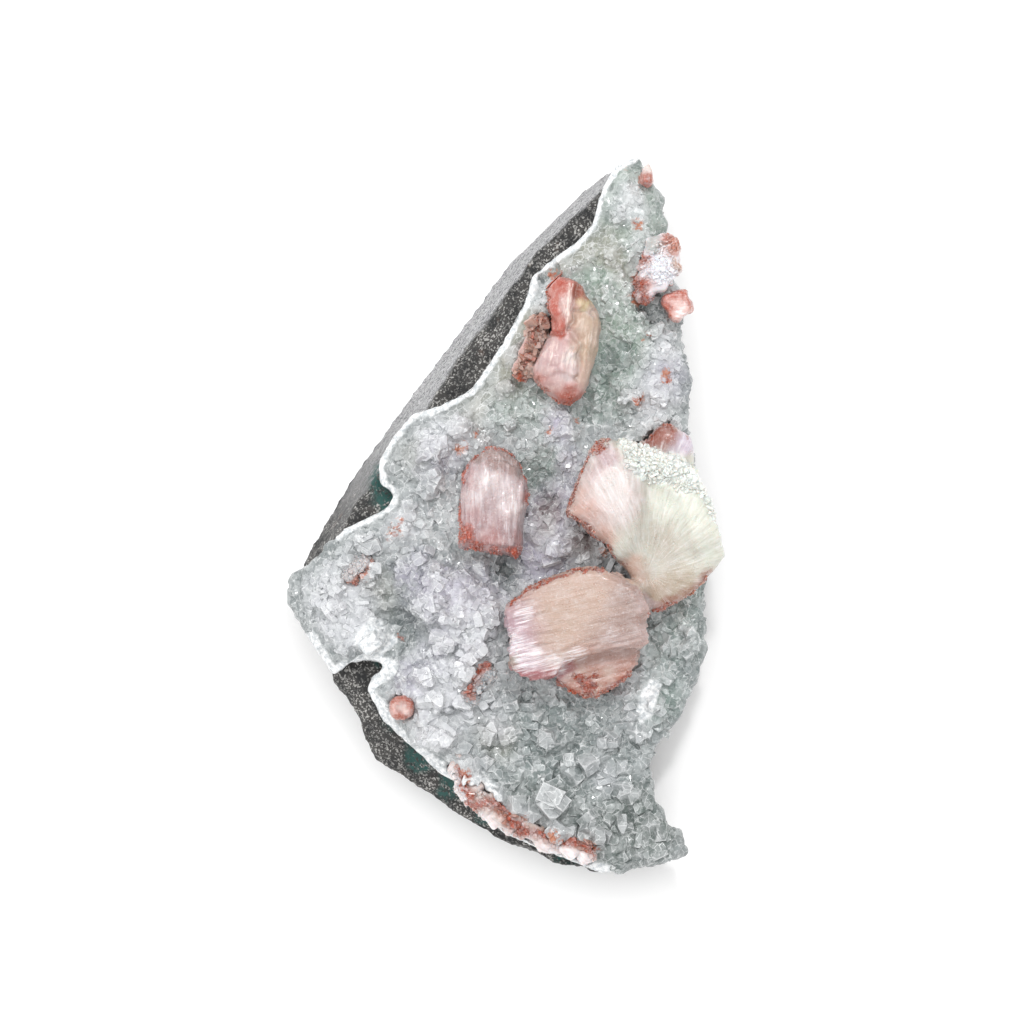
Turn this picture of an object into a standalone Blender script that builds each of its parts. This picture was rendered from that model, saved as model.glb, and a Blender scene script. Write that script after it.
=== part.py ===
"""Apophyllite specimen: a wedge of basalt whose broken face carries a crust of small apophyllite
blocks, with a few larger stilbite and heulandite crystals standing on it. It lies on its flat back.

All lengths are millimetres while the shapes are made; the finished meshes are scaled to metres.
+Z is up, +Y runs to the narrow tip, and the origin is on the flat back.
"""

import math
import random
from dataclasses import dataclass

import bmesh
import bpy
from mathutils import Euler, Matrix, Vector

METRES = 0.001
GAP = 0.3                    # left between every two pieces that touch

LENGTH = 109.0               # tip to tail
WIDTH = 67.0                 # left lobe to the corner of the large sheaf
MARGIN = 6.0                 # how far helper blocks reach past that
CEILING = 60.0               # above everything

FLOOR_HEIGHT = 16.0          # of the basalt under the middle of the crust
CRUST_THICKNESS = 4.2        # of the crust away from its lumps
CRUST_EDGE_SHARE = 0.4       # how much of that thickness is left right at its edge
CRUST_EDGE_WIDTH = 2.8       # the width over which it thins out
SHOULDER_SLOPE = 0.95        # fall of the bare basalt beside the crust, per mm outwards
SHOULDER_DROP = 9.0          # and the most that it falls
FLOOR_CELL = 6.5             # lattice of the face where crust and basalt meet
CRUST_CELL = 3.0             # lattice of the crust's upper face

BLOCK_SIZES = (2.2, 3.9)     # of the large apophyllite blocks that stand out of the crust
BLOCK_SPACING = 4.7
BLOCK_SHARE = 0.76           # of the places that have one
BLOCK_MARGIN = 1.8           # blocks keep this far inside the crust's outline
BLOCK_CLEARANCE = 2.6        # and this far from the large crystals
BLOCK_PLAY = (0.2, 0.8)      # where in its cell of the lattice a block may stand
BLOCK_TILT = 0.5             # the most that a block leans, in radians
BLOCK_DEPTHS = (0.65, 1.0)   # depth and height of a block, as shares of its width
BLOCK_HEIGHTS = (0.8, 1.1)
BLOCK_SEED = 5

FOOT_HEIGHT = 1.6            # how far above the basalt a standing crystal ends in the crust
SMALL_CHAMFER = 0.22         # of a small crystal's upper edges, as a share of its thickness
POCKET_WIDENING = 1.25       # a pocket's outline goes out by the gap times this, for its slanting edges

# The crust seen from above, clockwise from the tip.
CRUST_OUTLINE = [
    (16.5, 52.8), (20.1, 54.2), (21.8, 51.5), (23.7, 47.9), (24.2, 43.7), (25.3, 36.0),
    (27.3, 31.5), (26.7, 27.0), (28.2, 20.0), (27.6, 12.8), (28.8, 6.0), (30.3, -0.8),
    (30.6, -6.8), (30.0, -12.8), (30.2, -19.5), (29.4, -24.4), (26.0, -31.1), (22.7, -35.0),
    (21.8, -38.3), (22.4, -42.8), (24.2, -46.2), (26.6, -47.8), (27.3, -49.9), (26.4, -51.9),
    (23.0, -53.2), (17.9, -54.2), (13.8, -54.0), (9.6, -52.2), (4.6, -50.2), (-0.6, -48.0),
    (-5.0, -43.6), (-7.4, -40.5), (-9.9, -39.2), (-12.9, -36.3), (-18.5, -31.1), (-21.0, -26.3),
    (-20.1, -24.2), (-17.7, -22.6), (-20.6, -21.9), (-23.6, -22.4), (-26.0, -24.3),
    (-29.1, -20.0), (-31.5, -16.1), (-33.2, -12.8), (-32.0, -9.4), (-27.6, -5.0), (-24.2, -2.0),
    (-17.7, 1.2), (-17.0, 3.2), (-19.1, 4.8), (-19.2, 8.0), (-17.4, 11.3), (-14.1, 15.2),
    (-9.9, 16.5), (-5.4, 18.8), (-2.4, 23.0), (0.6, 27.8), (2.9, 32.3), (3.9, 35.9), (6.6, 38.3),
    (10.8, 41.3), (13.2, 44.0), (13.7, 46.8), (15.0, 50.3),
]

# The basalt seen from above, clockwise from the tip. Its long left side is left oversize, for the saw.
ROCK_OUTLINE = [
    (12.0, 58.0), (19.8, 53.0), (21.0, 49.5), (23.0, 43.5), (24.2, 34.5), (26.4, 28.5),
    (27.0, 15.8), (28.0, 6.2), (29.4, -6.8), (30.4, -14.0), (29.6, -22.0), (28.6, -25.5),
    (24.8, -31.5), (21.4, -35.0), (20.8, -40.3), (22.2, -44.3), (25.6, -48.6), (24.9, -51.6),
    (21.6, -53.3), (14.1, -54.4), (9.0, -53.5), (3.4, -51.3), (-2.4, -48.7), (-7.7, -46.0),
    (-12.9, -42.5), (-20.1, -37.6), (-21.9, -33.8), (-23.4, -29.0), (-26.2, -24.8),
    (-28.0, -19.8), (-30.0, -16.5), (-32.2, -10.5), (-44.0, 2.0),
]

# Heights in the basalt and how wide it is there: it is broken in under its upper edge.
ROCK_LEVELS = [(0.0, 0.90), (3.5, 0.955), (9.0, 0.985), (15.0, 1.0), (30.0, 1.0)]
ROCK_ROUGHNESS = 0.5
ROCK_SEED = 3

# Saw cuts along the long left side: a point on each, and its outward normal.
SAW_CUTS = [
    (Vector((-14.3, 18.8, 0.0)), Vector((-0.805, 0.593, 0.215))),
    (Vector((4.9, 43.1, 0.0)), Vector((-0.70, 0.714, 0.16))),
    (Vector((-29.6, -4.2, 0.0)), Vector((-0.86, 0.50, 0.18))),
]

# Broad swells and hollows of the face under the crust: x, y, reach, rise.
FLOOR_SWELLS = [
    (4.0, -12.0, 44.0, 2.2), (-31.5, -13.5, 14.0, -3.6), (20.0, 50.0, 20.0, -1.6),
    (24.0, -49.0, 18.0, -2.4), (11.0, -37.0, 20.0, -2.2),
]

# Lumps and hollows of the crust on top of that: x, y, reach, rise.
CRUST_LUMPS = [
    (-25.6, -11.2, 7.5, 3.0), (-24.2, -18.8, 6.5, 2.6), (-17.7, -3.0, 5.0, 2.6),
    (-21.9, -8.5, 3.4, 1.4), (-11.4, -10.6, 5.0, 2.2), (-7.6, -14.8, 9.0, 4.6),
    (-12.1, -24.8, 8.0, 4.2), (-5.0, -24.2, 6.6, 3.0), (-11.4, -33.0, 5.5, 2.2),
    (-11.4, 9.8, 8.0, 2.4), (-5.7, 11.6, 3.8, 2.2), (8.1, 13.5, 4.6, 2.6),
    (7.4, -3.0, 6.8, 2.8), (21.6, 25.5, 5.0, 2.4), (19.6, 19.5, 4.8, 2.8),
    (25.6, 18.0, 4.4, 2.2), (22.4, 11.6, 4.8, 1.8), (18.3, 47.3, 4.2, 1.6),
    (20.9, 40.5, 4.6, 2.0), (15.6, 39.4, 4.2, 1.5), (16.4, 32.3, 4.6, 1.6),
    (-0.9, 17.0, 5.5, 1.2), (8.1, -31.5, 4.2, 1.8), (2.1, -33.8, 4.0, 1.6),
    (20.1, -27.0, 5.2, 2.2), (25.6, -18.8, 5.4, 2.0), (14.9, -34.5, 4.0, 1.6),
    (5.9, -41.3, 4.4, 1.6), (18.3, -41.0, 4.2, 2.2), (12.6, -45.6, 4.2, 1.6),
    (23.6, -49.6, 4.2, 1.4), (-4.2, -41.0, 4.2, 2.2), (2.1, -46.0, 4.0, 1.8),
    (9.6, -49.2, 3.8, 1.4), (0.3, -8.4, 4.2, -3.2), (5.1, 5.3, 6.0, -2.0),
    (-15.8, -16.5, 4.4, -3.0), (15.9, 22.6, 5.0, -1.8), (12.6, 15.8, 4.6, -1.4),
    (22.2, 30.2, 3.2, -1.8), (-16.4, -8.6, 4.0, -1.4), (9.0, 21.0, 5.0, -1.0),
]

# The standing crystals seen from above. Each row of levels is a height above the foot, and how wide
# the crystal is there as a share of its outline.
PINK_PLATE = [
    (3.1, -10.7), (0.7, -12.4), (-0.3, -13.9), (-0.2, -16.5), (0.4, -18.5), (0.1, -21.0),
    (0.5, -23.2), (2.2, -24.3), (4.1, -25.0), (7.3, -24.2), (8.4, -22.6), (12.0, -21.2),
    (16.0, -20.3), (20.1, -20.0), (21.7, -19.2), (21.2, -16.2), (21.9, -14.2), (20.9, -12.1),
    (20.2, -10.2), (17.0, -8.8), (14.8, -7.7), (12.3, -7.4), (9.5, -8.0), (6.0, -9.2),
]
PINK_PLATE_LEVELS = [
    (0.0, 0.80), (4.0, 0.92), (9.5, 0.98), (11.5, 1.0), (13.2, 0.97), (14.0, 0.86), (14.4, 0.5),
]
PINK_PLATE_TILT = Vector((0.05, 0.10))
PINK_STEP = [
    (7.0, -20.5), (7.3, -24.3), (7.9, -25.4), (9.8, -27.0), (13.7, -27.5), (15.6, -26.4),
    (18.1, -24.8), (19.9, -22.4), (20.0, -18.5), (13.0, -16.5),
]
PINK_STEP_LEVELS = [(0.0, 0.78), (4.0, 0.93), (7.0, 1.0), (8.6, 0.97), (9.4, 0.84)]
PINK_STEP_TILT = Vector((0.02, 0.16))
SHEAF_LOBE = [
    (14.2, 11.8), (12.7, 10.4), (11.5, 7.6), (10.2, 4.6), (9.4, 2.1), (8.7, -0.2), (10.9, -1.2),
    (13.1, -3.6), (14.8, -4.2), (15.6, -6.2), (16.9, -7.5), (19.5, -5.6), (20.8, -2.0),
    (21.4, 2.0), (20.8, 6.5), (20.0, 10.3), (16.9, 11.4),
]
SHEAF_LOBE_LEVELS = [(0.0, 0.78), (5.0, 0.92), (10.0, 1.0), (12.5, 0.96), (14.0, 0.80), (14.8, 0.5)]
SHEAF_LOBE_TILT = Vector((0.06, 0.06))
SHEAF_FAN = [
    (17.0, -7.4), (16.0, 0.0), (16.8, 10.2), (18.6, 10.4), (21.2, 9.8), (23.4, 8.6), (26.4, 7.4),
    (28.2, 5.6), (29.4, 3.1), (30.6, 0.8), (31.0, -1.3), (31.9, -3.2), (33.2, -6.1),
    (31.2, -8.5), (28.4, -11.6), (25.6, -13.5), (21.9, -14.8), (20.0, -11.0),
]
SHEAF_FAN_LEVELS = [(0.0, 0.74), (5.0, 0.86), (9.0, 0.97), (11.0, 1.0), (12.2, 0.95), (12.8, 0.8)]
SHEAF_FAN_TILT = Vector((0.02, 0.14))
SHEAF_ROOT = Vector((20.6, -9.6))
CREST_RADII = [20.6, 19.9, 18.9, 18.4, 17.6, 16.2, 14.9, 13.9, 13.4]
CREST_ANGLES = (100.0, 32.4)
CREST_BLADE = Vector((5.0, 2.2, 15.4))
CREST_FALL = 1.6             # how much lower the last blade of the crest is than the first
BEHIND_SHEAF = [
    (20.5, 10.8), (21.7, 12.3), (22.3, 13.4), (24.2, 14.1), (25.3, 13.7), (26.3, 12.6),
    (27.6, 12.4), (28.3, 10.0), (28.5, 7.2), (25.6, 6.0), (22.3, 7.4),
]
BEHIND_SHEAF_LEVELS = [(0.0, 0.80), (5.5, 0.95), (8.0, 1.0), (9.2, 0.9), (9.8, 0.6)]

BARREL = [
    (-2.6, 10.2), (-1.0, 10.3), (0.5, 9.3), (1.7, 7.7), (2.1, 5.9), (2.9, 5.2), (3.3, 3.5),
    (3.1, 1.2), (2.4, -0.9), (2.1, -3.3), (1.3, -5.7), (-1.0, -5.8), (-2.9, -5.6), (-5.0, -4.4),
    (-6.5, -4.2), (-6.9, -0.3), (-6.8, 3.2), (-6.3, 6.2), (-5.2, 8.0),
]
BARREL_LEVELS = [(0.0, 0.84), (4.0, 0.96), (7.0, 1.0), (9.0, 0.95), (10.6, 0.80), (11.4, 0.5)]
BARREL_TILT = Vector((0.0, -0.05))

UPPER = [
    (7.9, 35.9), (6.7, 35.0), (6.1, 33.2), (6.3, 31.7), (7.0, 29.7), (7.0, 27.3), (6.2, 26.1),
    (5.0, 24.0), (3.8, 21.6), (4.3, 20.2), (6.0, 18.3), (7.9, 16.9), (9.5, 16.5), (10.9, 17.6),
    (12.2, 19.6), (12.9, 21.9), (13.7, 24.9), (14.0, 28.5), (13.5, 31.1), (12.2, 32.3),
    (11.6, 34.1), (10.6, 35.1), (9.1, 35.6),
]
UPPER_LEVELS = [(0.0, 0.80), (4.5, 0.95), (7.0, 1.0), (8.6, 0.92), (9.8, 0.72), (10.4, 0.42)]
UPPER_BLADES = [
    ((4.9, 28.0), (2.2, 3.0, 8.2), -8.0, 8.0), ((4.1, 25.2), (2.6, 3.2, 7.6), -22.0, 8.0),
    ((3.0, 22.6), (2.2, 3.0, 7.0), -30.0, 8.0), ((6.0, 36.4), (2.6, 2.4, 6.6), 25.0, 8.0),
]

EDGE_SHEAF = [
    (21.1, 41.4), (20.6, 38.6), (19.8, 35.2), (19.6, 32.2), (21.0, 31.7), (22.3, 33.4),
    (24.0, 33.6), (24.6, 35.6), (25.8, 37.0), (26.2, 39.8), (25.4, 41.8), (23.4, 42.2),
]
EDGE_SHEAF_LEVELS = [(0.0, 0.78), (4.0, 0.95), (6.5, 1.0), (7.8, 0.9), (8.4, 0.6)]
EDGE_BLOCK = [
    (24.0, 33.0), (23.7, 31.4), (24.4, 29.9), (26.0, 29.2), (27.6, 30.4), (27.9, 31.9),
    (27.0, 33.4), (25.4, 33.7),
]
EDGE_BLOCK_LEVELS = [(0.0, 0.70), (3.0, 0.90), (5.6, 1.0), (6.8, 0.86)]
TIP_BLOCK = [
    (20.5, 50.0), (20.4, 51.2), (20.9, 52.6), (21.5, 53.0), (22.0, 52.0), (21.9, 50.2),
    (21.3, 49.5),
]
TIP_BLOCK_LEVELS = [(0.0, 0.80), (2.5, 0.95), (4.8, 1.0), (5.6, 0.75)]

BUTTON_CENTRE = Vector((-15.6, -28.9))
BUTTON_RADIUS = 1.65
BUTTON_LEVELS = [(0.0, 0.85), (4.2, 1.0), (5.6, 0.95), (6.2, 0.66)]
BUTTON_SIDES = 12

# Small crystals as blocks: middle, size, turn in plan, lean.
LOBE_BLOCKS = [
    ((-22.8, -8.2), (3.1, 1.7, 5.6), 55.0, 10.0), ((-21.3, -7.0), (2.0, 1.5, 5.4), 20.0, 10.0),
]
BASIN_BLOCKS = [
    ((-3.9, -24.6), (1.7, 2.9, 6.4), -18.0, 10.0), ((-4.9, -26.3), (1.6, 2.2, 6.0), 12.0, 10.0),
    ((-2.8, -23.2), (1.5, 1.9, 6.2), 30.0, 10.0),
]

# The band of small crystals along the lower left rim: its middle line, and how they vary along it.
RIM_LINE = [
    (-6.9, -38.0), (-5.5, -41.2), (-2.6, -44.2), (1.2, -46.3), (5.4, -48.6), (9.8, -50.3), (13.4, -51.2),
]
RIM_STEP = 1.6
RIM_SIZES = (1.8, 2.8)
RIM_HEIGHTS = (3.4, 4.8)
RIM_WANDER = 0.3
RIM_TURN = 90.0
RIM_LEAN = 12.0
RIM_SEED = 11

LARGE_CRYSTALS = [
    PINK_PLATE, PINK_STEP, SHEAF_LOBE, SHEAF_FAN, BARREL, UPPER, EDGE_SHEAF, EDGE_BLOCK,
]

# Base colour, roughness.
COLOURS = {
    "basalt_matrix": ((0.055, 0.053, 0.055), 0.85),
    "apophyllite_crust": ((0.58, 0.63, 0.62), 0.25),
    "stilbite_pair": ((0.78, 0.60, 0.52), 0.3),
    "barrel_stilbite": ((0.74, 0.46, 0.43), 0.3),
    "upper_stilbite": ((0.72, 0.40, 0.34), 0.3),
    "edge_stilbite": ((0.80, 0.68, 0.66), 0.35),
    "edge_heulandite": ((0.62, 0.20, 0.14), 0.3),
    "tip_heulandite": ((0.50, 0.16, 0.11), 0.35),
    "button_heulandite": ((0.62, 0.24, 0.20), 0.3),
    "lobe_heulandite": ((0.56, 0.17, 0.10), 0.35),
    "basin_heulandite": ((0.56, 0.20, 0.15), 0.35),
    "rim_heulandite": ((0.47, 0.20, 0.14), 0.4),
}


# ---------------------------------------------------------------- heights of the two faces

def distance_inside(outline, x, y):
    """Distance from a point to a closed outline: positive inside it, negative outside."""
    nearest = math.inf
    inside = False
    for (ax, ay), (bx, by) in zip(outline, outline[1:] + outline[:1]):
        dx, dy = bx - ax, by - ay
        along = ((x - ax) * dx + (y - ay) * dy) / (dx * dx + dy * dy)
        along = min(1.0, max(0.0, along))
        nearest = min(nearest, math.hypot(x - ax - along * dx, y - ay - along * dy))
        if (ay > y) != (by > y) and x < ax + (y - ay) * dx / dy:
            inside = not inside
    return nearest if inside else -nearest


def bell_sum(bells, x, y):
    """Sum of round swells, each falling smoothly to nothing at its reach."""
    total = 0.0
    for bell_x, bell_y, reach, rise in bells:
        share = 1.0 - ((x - bell_x) ** 2 + (y - bell_y) ** 2) / reach**2
        if share > 0.0:
            total += rise * share**2
    return total


def floor_height(x, y):
    """Height of the face where crust and basalt meet; beside the crust it falls away."""
    outside = max(0.0, -distance_inside(CRUST_OUTLINE, x, y))
    fall = min(SHOULDER_DROP, SHOULDER_SLOPE * outside)
    return FLOOR_HEIGHT + bell_sum(FLOOR_SWELLS, x, y) - fall


def crust_height(x, y):
    """Height of the crust's upper face: lumpy, and thinner along its edge."""
    inside = distance_inside(CRUST_OUTLINE, x, y)
    share = min(1.0, max(0.0, inside / CRUST_EDGE_WIDTH))
    swell = CRUST_EDGE_SHARE + (1.0 - CRUST_EDGE_SHARE) * math.sin(share * math.pi / 2)
    rise = CRUST_THICKNESS * swell + bell_sum(CRUST_LUMPS, x, y) * share
    return FLOOR_HEIGHT + bell_sum(FLOOR_SWELLS, x, y) + rise


# ---------------------------------------------------------------- making and joining meshes

def new_object(name, bm):
    """A mesh object of a bmesh, which is freed."""
    bmesh.ops.recalc_face_normals(bm, faces=bm.faces[:])
    mesh = bpy.data.meshes.new(name)
    bm.to_mesh(mesh)
    bm.free()
    made = bpy.data.objects.new(name, mesh)
    bpy.context.scene.collection.objects.link(made)
    return made


def combine(body, tool, operation, tool_overlaps=False):
    """Applies one Boolean to body, removes the tool, and returns body."""
    modifier = body.modifiers.new(operation.title(), "BOOLEAN")
    modifier.operation = operation
    modifier.object = tool
    modifier.use_self = tool_overlaps
    graph = bpy.context.evaluated_depsgraph_get()
    mesh = bpy.data.meshes.new_from_object(body.evaluated_get(graph))
    body.modifiers.remove(modifier)
    body.data = mesh
    bpy.data.objects.remove(tool)
    return body


def joined(name, pieces):
    """One solid out of overlapping ones."""
    body = pieces[0]
    for piece in pieces[1:]:
        combine(body, piece, "UNION")
    body.name = name
    return body


def vertices_of(geometry):
    return [item for item in geometry if isinstance(item, bmesh.types.BMVert)]


def loft(name, outline, levels):
    """The outline standing upright, as wide as each level says about its own middle."""
    centre = middle_of(outline)
    first_height, first_width = levels[0]
    bm = bmesh.new()
    corners = [centre + (Vector(point) - centre) * first_width for point in outline]
    face = bm.faces.new([bm.verts.new((x, y, first_height)) for x, y in corners])
    to_centre = Matrix.Translation((-centre.x, -centre.y, 0.0))
    for (low, narrow), (high, wide) in zip(levels, levels[1:]):
        raised = bmesh.ops.extrude_face_region(bm, geom=[face])["geom"]
        if low > first_height:
            bmesh.ops.delete(bm, geom=[face], context="FACES_ONLY")
        ring = vertices_of(raised)
        bmesh.ops.translate(bm, verts=ring, vec=(0.0, 0.0, high - low))
        bmesh.ops.scale(bm, verts=ring, vec=(wide / narrow, wide / narrow, 1.0), space=to_centre)
        face = next(item for item in raised if isinstance(item, bmesh.types.BMFace))
    return new_object(name, bm)


def reshape(body, moved):
    """Moves each vertex of body to where the function moved puts it, and keeps its faces flat."""
    bm = bmesh.new()
    bm.from_mesh(body.data)
    for vert in bm.verts:
        vert.co = moved(vert.co.copy())
    bmesh.ops.triangulate(bm, faces=bm.faces[:])
    bm.to_mesh(body.data)
    bm.free()
    return body


def plan_grid(bm, cell):
    """A flat lattice over the whole plan, in cells of about the given size."""
    across = WIDTH + 2 * MARGIN
    along = LENGTH + 2 * MARGIN
    stretch = Matrix.Diagonal((across, along, 1.0, 1.0))
    made = bmesh.ops.create_grid(
        bm, x_segments=round(across / cell), y_segments=round(along / cell), size=0.5, matrix=stretch
    )
    return made["verts"]


def height_block(name, low, low_cell, high, high_cell):
    """A block over the whole plan, whose under and upper faces follow two height functions."""
    bm = bmesh.new()
    rims = []
    for height, cell in ((low, low_cell), (high, high_cell)):
        sheet = plan_grid(bm, cell)
        for vert in sheet:
            vert.co.z = height(vert.co.x, vert.co.y)
        rims += {edge for vert in sheet for edge in vert.link_edges if edge.is_boundary}
    bmesh.ops.bridge_loops(bm, edges=rims)
    bmesh.ops.triangulate(bm, faces=bm.faces[:])
    return new_object(name, bm)


# ---------------------------------------------------------------- standing crystals

def middle_of(outline):
    return sum((Vector(point) for point in outline), Vector((0.0, 0.0))) / len(outline)


@dataclass
class Standing:
    """A crystal that follows an outline, its foot in the crust; its top leans, in mm per mm."""

    outline: list
    levels: list
    tilt: Vector = Vector((0.0, 0.0))

    def solid(self, grow=0.0):
        """The crystal, or with grow, the same shape that much larger on every side."""
        centre = middle_of(self.outline)
        foot = floor_height(*centre) + FOOT_HEIGHT - grow
        total = self.levels[-1][0]
        outline = []
        for point in self.outline:
            away = Vector(point) - centre
            outline.append(centre + away * (1.0 + POCKET_WIDENING * grow / away.length))
        levels = self.levels[:1] + [(height + 2.0 * grow, width) for height, width in self.levels[1:]]

        def leaning(point):
            lean = (point.to_2d() - centre).dot(self.tilt) * point.z / total
            return point + Vector((0.0, 0.0, foot + lean))

        return reshape(loft("standing", outline, levels), leaning)


@dataclass
class Block:
    """A small upright crystal with chamfered upper edges, its foot in the crust."""

    middle: tuple
    size: tuple
    turn: float
    lean: float = 0.0

    def solid(self, grow=0.0):
        """The crystal, or with grow, the same shape that much larger on every side."""
        x, y = self.middle
        height = floor_height(x, y) + FOOT_HEIGHT + self.size[2] / 2
        size = [length + 2.0 * grow for length in self.size]
        bm = bmesh.new()
        bmesh.ops.create_cube(bm, size=1.0, matrix=Matrix.Diagonal((*size, 1.0)))
        edges = [edge for edge in bm.edges if all(vert.co.z > 0.0 for vert in edge.verts)]
        chamfer = SMALL_CHAMFER * min(self.size[:2])
        bmesh.ops.bevel(bm, geom=edges, offset=chamfer, segments=1, profile=0.5, affect="EDGES")
        lean, turn = math.radians(self.lean), math.radians(self.turn)
        turned = Euler((lean, -lean, turn)).to_matrix().to_4x4()
        bmesh.ops.transform(bm, matrix=Matrix.Translation((x, y, height)) @ turned, verts=bm.verts[:])
        return new_object("block", bm)


def crest_blades():
    """The blades of the sheaf's crest, each pointing away from the sheaf's root."""
    first, last = map(math.radians, CREST_ANGLES)
    for number, radius in enumerate(CREST_RADII):
        share = number / (len(CREST_RADII) - 1)
        angle = first + (last - first) * share
        outwards = Vector((math.cos(angle), math.sin(angle)))
        middle = SHEAF_ROOT + outwards * (radius - CREST_BLADE.x / 2)
        size = (CREST_BLADE.x, CREST_BLADE.y, CREST_BLADE.z - CREST_FALL * share)
        yield Block(tuple(middle), size, math.degrees(angle))


def rim_blocks():
    """The band along the lower left rim: a chain of blocks, each overlapping the next."""
    chance = random.Random(RIM_SEED)
    for start, end in zip(RIM_LINE, RIM_LINE[1:]):
        start, end = Vector(start), Vector(end)
        count = round((end - start).length / RIM_STEP)
        for number in range(count):
            aside = Vector([chance.uniform(-RIM_WANDER, RIM_WANDER) for _ in range(2)])
            size = tuple(chance.uniform(*sizes) for sizes in (RIM_SIZES, RIM_SIZES, RIM_HEIGHTS))
            middle = start.lerp(end, number / count) + aside
            turn, lean = chance.uniform(0.0, RIM_TURN), chance.uniform(-RIM_LEAN, RIM_LEAN)
            yield Block(tuple(middle), size, turn, lean)


def button_outline():
    turns = [-2 * math.pi * number / BUTTON_SIDES for number in range(BUTTON_SIDES)]
    around = [Vector((math.cos(turn), math.sin(turn))) for turn in turns]
    return [BUTTON_CENTRE + BUTTON_RADIUS * outwards for outwards in around]


def crystal_shapes():
    """The shapes that make up each standing crystal, by its name."""
    return {
        "stilbite_pair": [
            Standing(PINK_PLATE, PINK_PLATE_LEVELS, PINK_PLATE_TILT),
            Standing(PINK_STEP, PINK_STEP_LEVELS, PINK_STEP_TILT),
            Standing(SHEAF_LOBE, SHEAF_LOBE_LEVELS, SHEAF_LOBE_TILT),
            Standing(SHEAF_FAN, SHEAF_FAN_LEVELS, SHEAF_FAN_TILT),
            Standing(BEHIND_SHEAF, BEHIND_SHEAF_LEVELS),
            *crest_blades(),
        ],
        "barrel_stilbite": [Standing(BARREL, BARREL_LEVELS, BARREL_TILT)],
        "upper_stilbite": [Standing(UPPER, UPPER_LEVELS), *(Block(*blade) for blade in UPPER_BLADES)],
        "edge_stilbite": [Standing(EDGE_SHEAF, EDGE_SHEAF_LEVELS)],
        "edge_heulandite": [Standing(EDGE_BLOCK, EDGE_BLOCK_LEVELS)],
        "tip_heulandite": [Standing(TIP_BLOCK, TIP_BLOCK_LEVELS)],
        "button_heulandite": [Standing(button_outline(), BUTTON_LEVELS)],
        "lobe_heulandite": [Block(*placed) for placed in LOBE_BLOCKS],
        "basin_heulandite": [Block(*placed) for placed in BASIN_BLOCKS],
        "rim_heulandite": list(rim_blocks()),
    }


# ---------------------------------------------------------------- basalt and crust

def cut_plane(body, point, outward):
    """Cuts away what lies beyond the plane and closes the cut."""
    bm = bmesh.new()
    bm.from_mesh(body.data)
    geometry = bm.verts[:] + bm.edges[:] + bm.faces[:]
    cut = bmesh.ops.bisect_plane(bm, geom=geometry, plane_co=point, plane_no=outward, clear_outer=True)
    edges = [item for item in cut["geom_cut"] if isinstance(item, bmesh.types.BMEdge)]
    bmesh.ops.holes_fill(bm, edges=edges)
    bmesh.ops.recalc_face_normals(bm, faces=bm.faces[:])
    bm.to_mesh(body.data)
    bm.free()


def make_basalt():
    """The rock: sawn on its long left side, broken elsewhere, flat underneath."""
    chance = random.Random(ROCK_SEED)
    rock = loft("basalt_matrix", ROCK_OUTLINE, ROCK_LEVELS)

    def broken(point):
        if 0.0 < point.z < FLOOR_HEIGHT:
            point += Vector([chance.uniform(-1.0, 1.0) for _ in range(3)]) * ROCK_ROUGHNESS
        return point

    reshape(rock, broken)
    for point, outward in SAW_CUTS:
        cut_plane(rock, point, outward)
    above = height_block(
        "above_basalt", lambda x, y: floor_height(x, y) - GAP, FLOOR_CELL, lambda x, y: CEILING, FLOOR_CELL
    )
    return combine(rock, above, "DIFFERENCE")


def block_places(chance):
    """Places for the crust's blocks: one in most cells of a lattice, clear of the large crystals."""
    cells_x, cells_y = round(WIDTH / BLOCK_SPACING), round(LENGTH / BLOCK_SPACING)
    for cell_y in range(cells_y):
        for cell_x in range(cells_x):
            stagger = 0.5 * (cell_y % 2)
            x = (cell_x + stagger + chance.uniform(*BLOCK_PLAY)) * BLOCK_SPACING - WIDTH / 2
            y = (cell_y + chance.uniform(*BLOCK_PLAY)) * BLOCK_SPACING - LENGTH / 2
            nearest = max(distance_inside(crystal, x, y) for crystal in LARGE_CRYSTALS)
            inside = distance_inside(CRUST_OUTLINE, x, y) > BLOCK_MARGIN
            if inside and nearest < -BLOCK_CLEARANCE and chance.random() < BLOCK_SHARE:
                yield x, y


def make_blocks():
    """The large apophyllite blocks, tilted this way and that, as one object of loose boxes."""
    chance = random.Random(BLOCK_SEED)
    bm = bmesh.new()
    for x, y in block_places(chance):
        size = chance.uniform(*BLOCK_SIZES)
        tilts = [chance.uniform(-BLOCK_TILT, BLOCK_TILT) for _ in range(2)]
        turn = Euler((*tilts, chance.uniform(0.0, math.pi))).to_matrix().to_4x4()
        depth, height = size * chance.uniform(*BLOCK_DEPTHS), size * chance.uniform(*BLOCK_HEIGHTS)
        stretch = Matrix.Diagonal((size, depth, height, 1.0))
        place = Matrix.Translation((x, y, crust_height(x, y)))
        bmesh.ops.create_cube(bm, size=1.0, matrix=place @ turn @ stretch)
    return new_object("blocks", bm)


def drop_chips(body):
    """Removes the loose chips that the pockets leave, which are every shell but the largest."""
    bm = bmesh.new()
    bm.from_mesh(body.data)
    left = set(bm.verts)
    shells = []
    while left:
        shell, edge_of_shell = set(), [left.pop()]
        while edge_of_shell:
            vert = edge_of_shell.pop()
            shell.add(vert)
            near = {edge.other_vert(vert) for edge in vert.link_edges} & left
            left -= near
            edge_of_shell += near
        shells.append(shell)
    shells.sort(key=len)
    for chip in shells[:-1]:
        bmesh.ops.delete(bm, geom=list(chip), context="VERTS")
    bm.to_mesh(body.data)
    bm.free()


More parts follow.
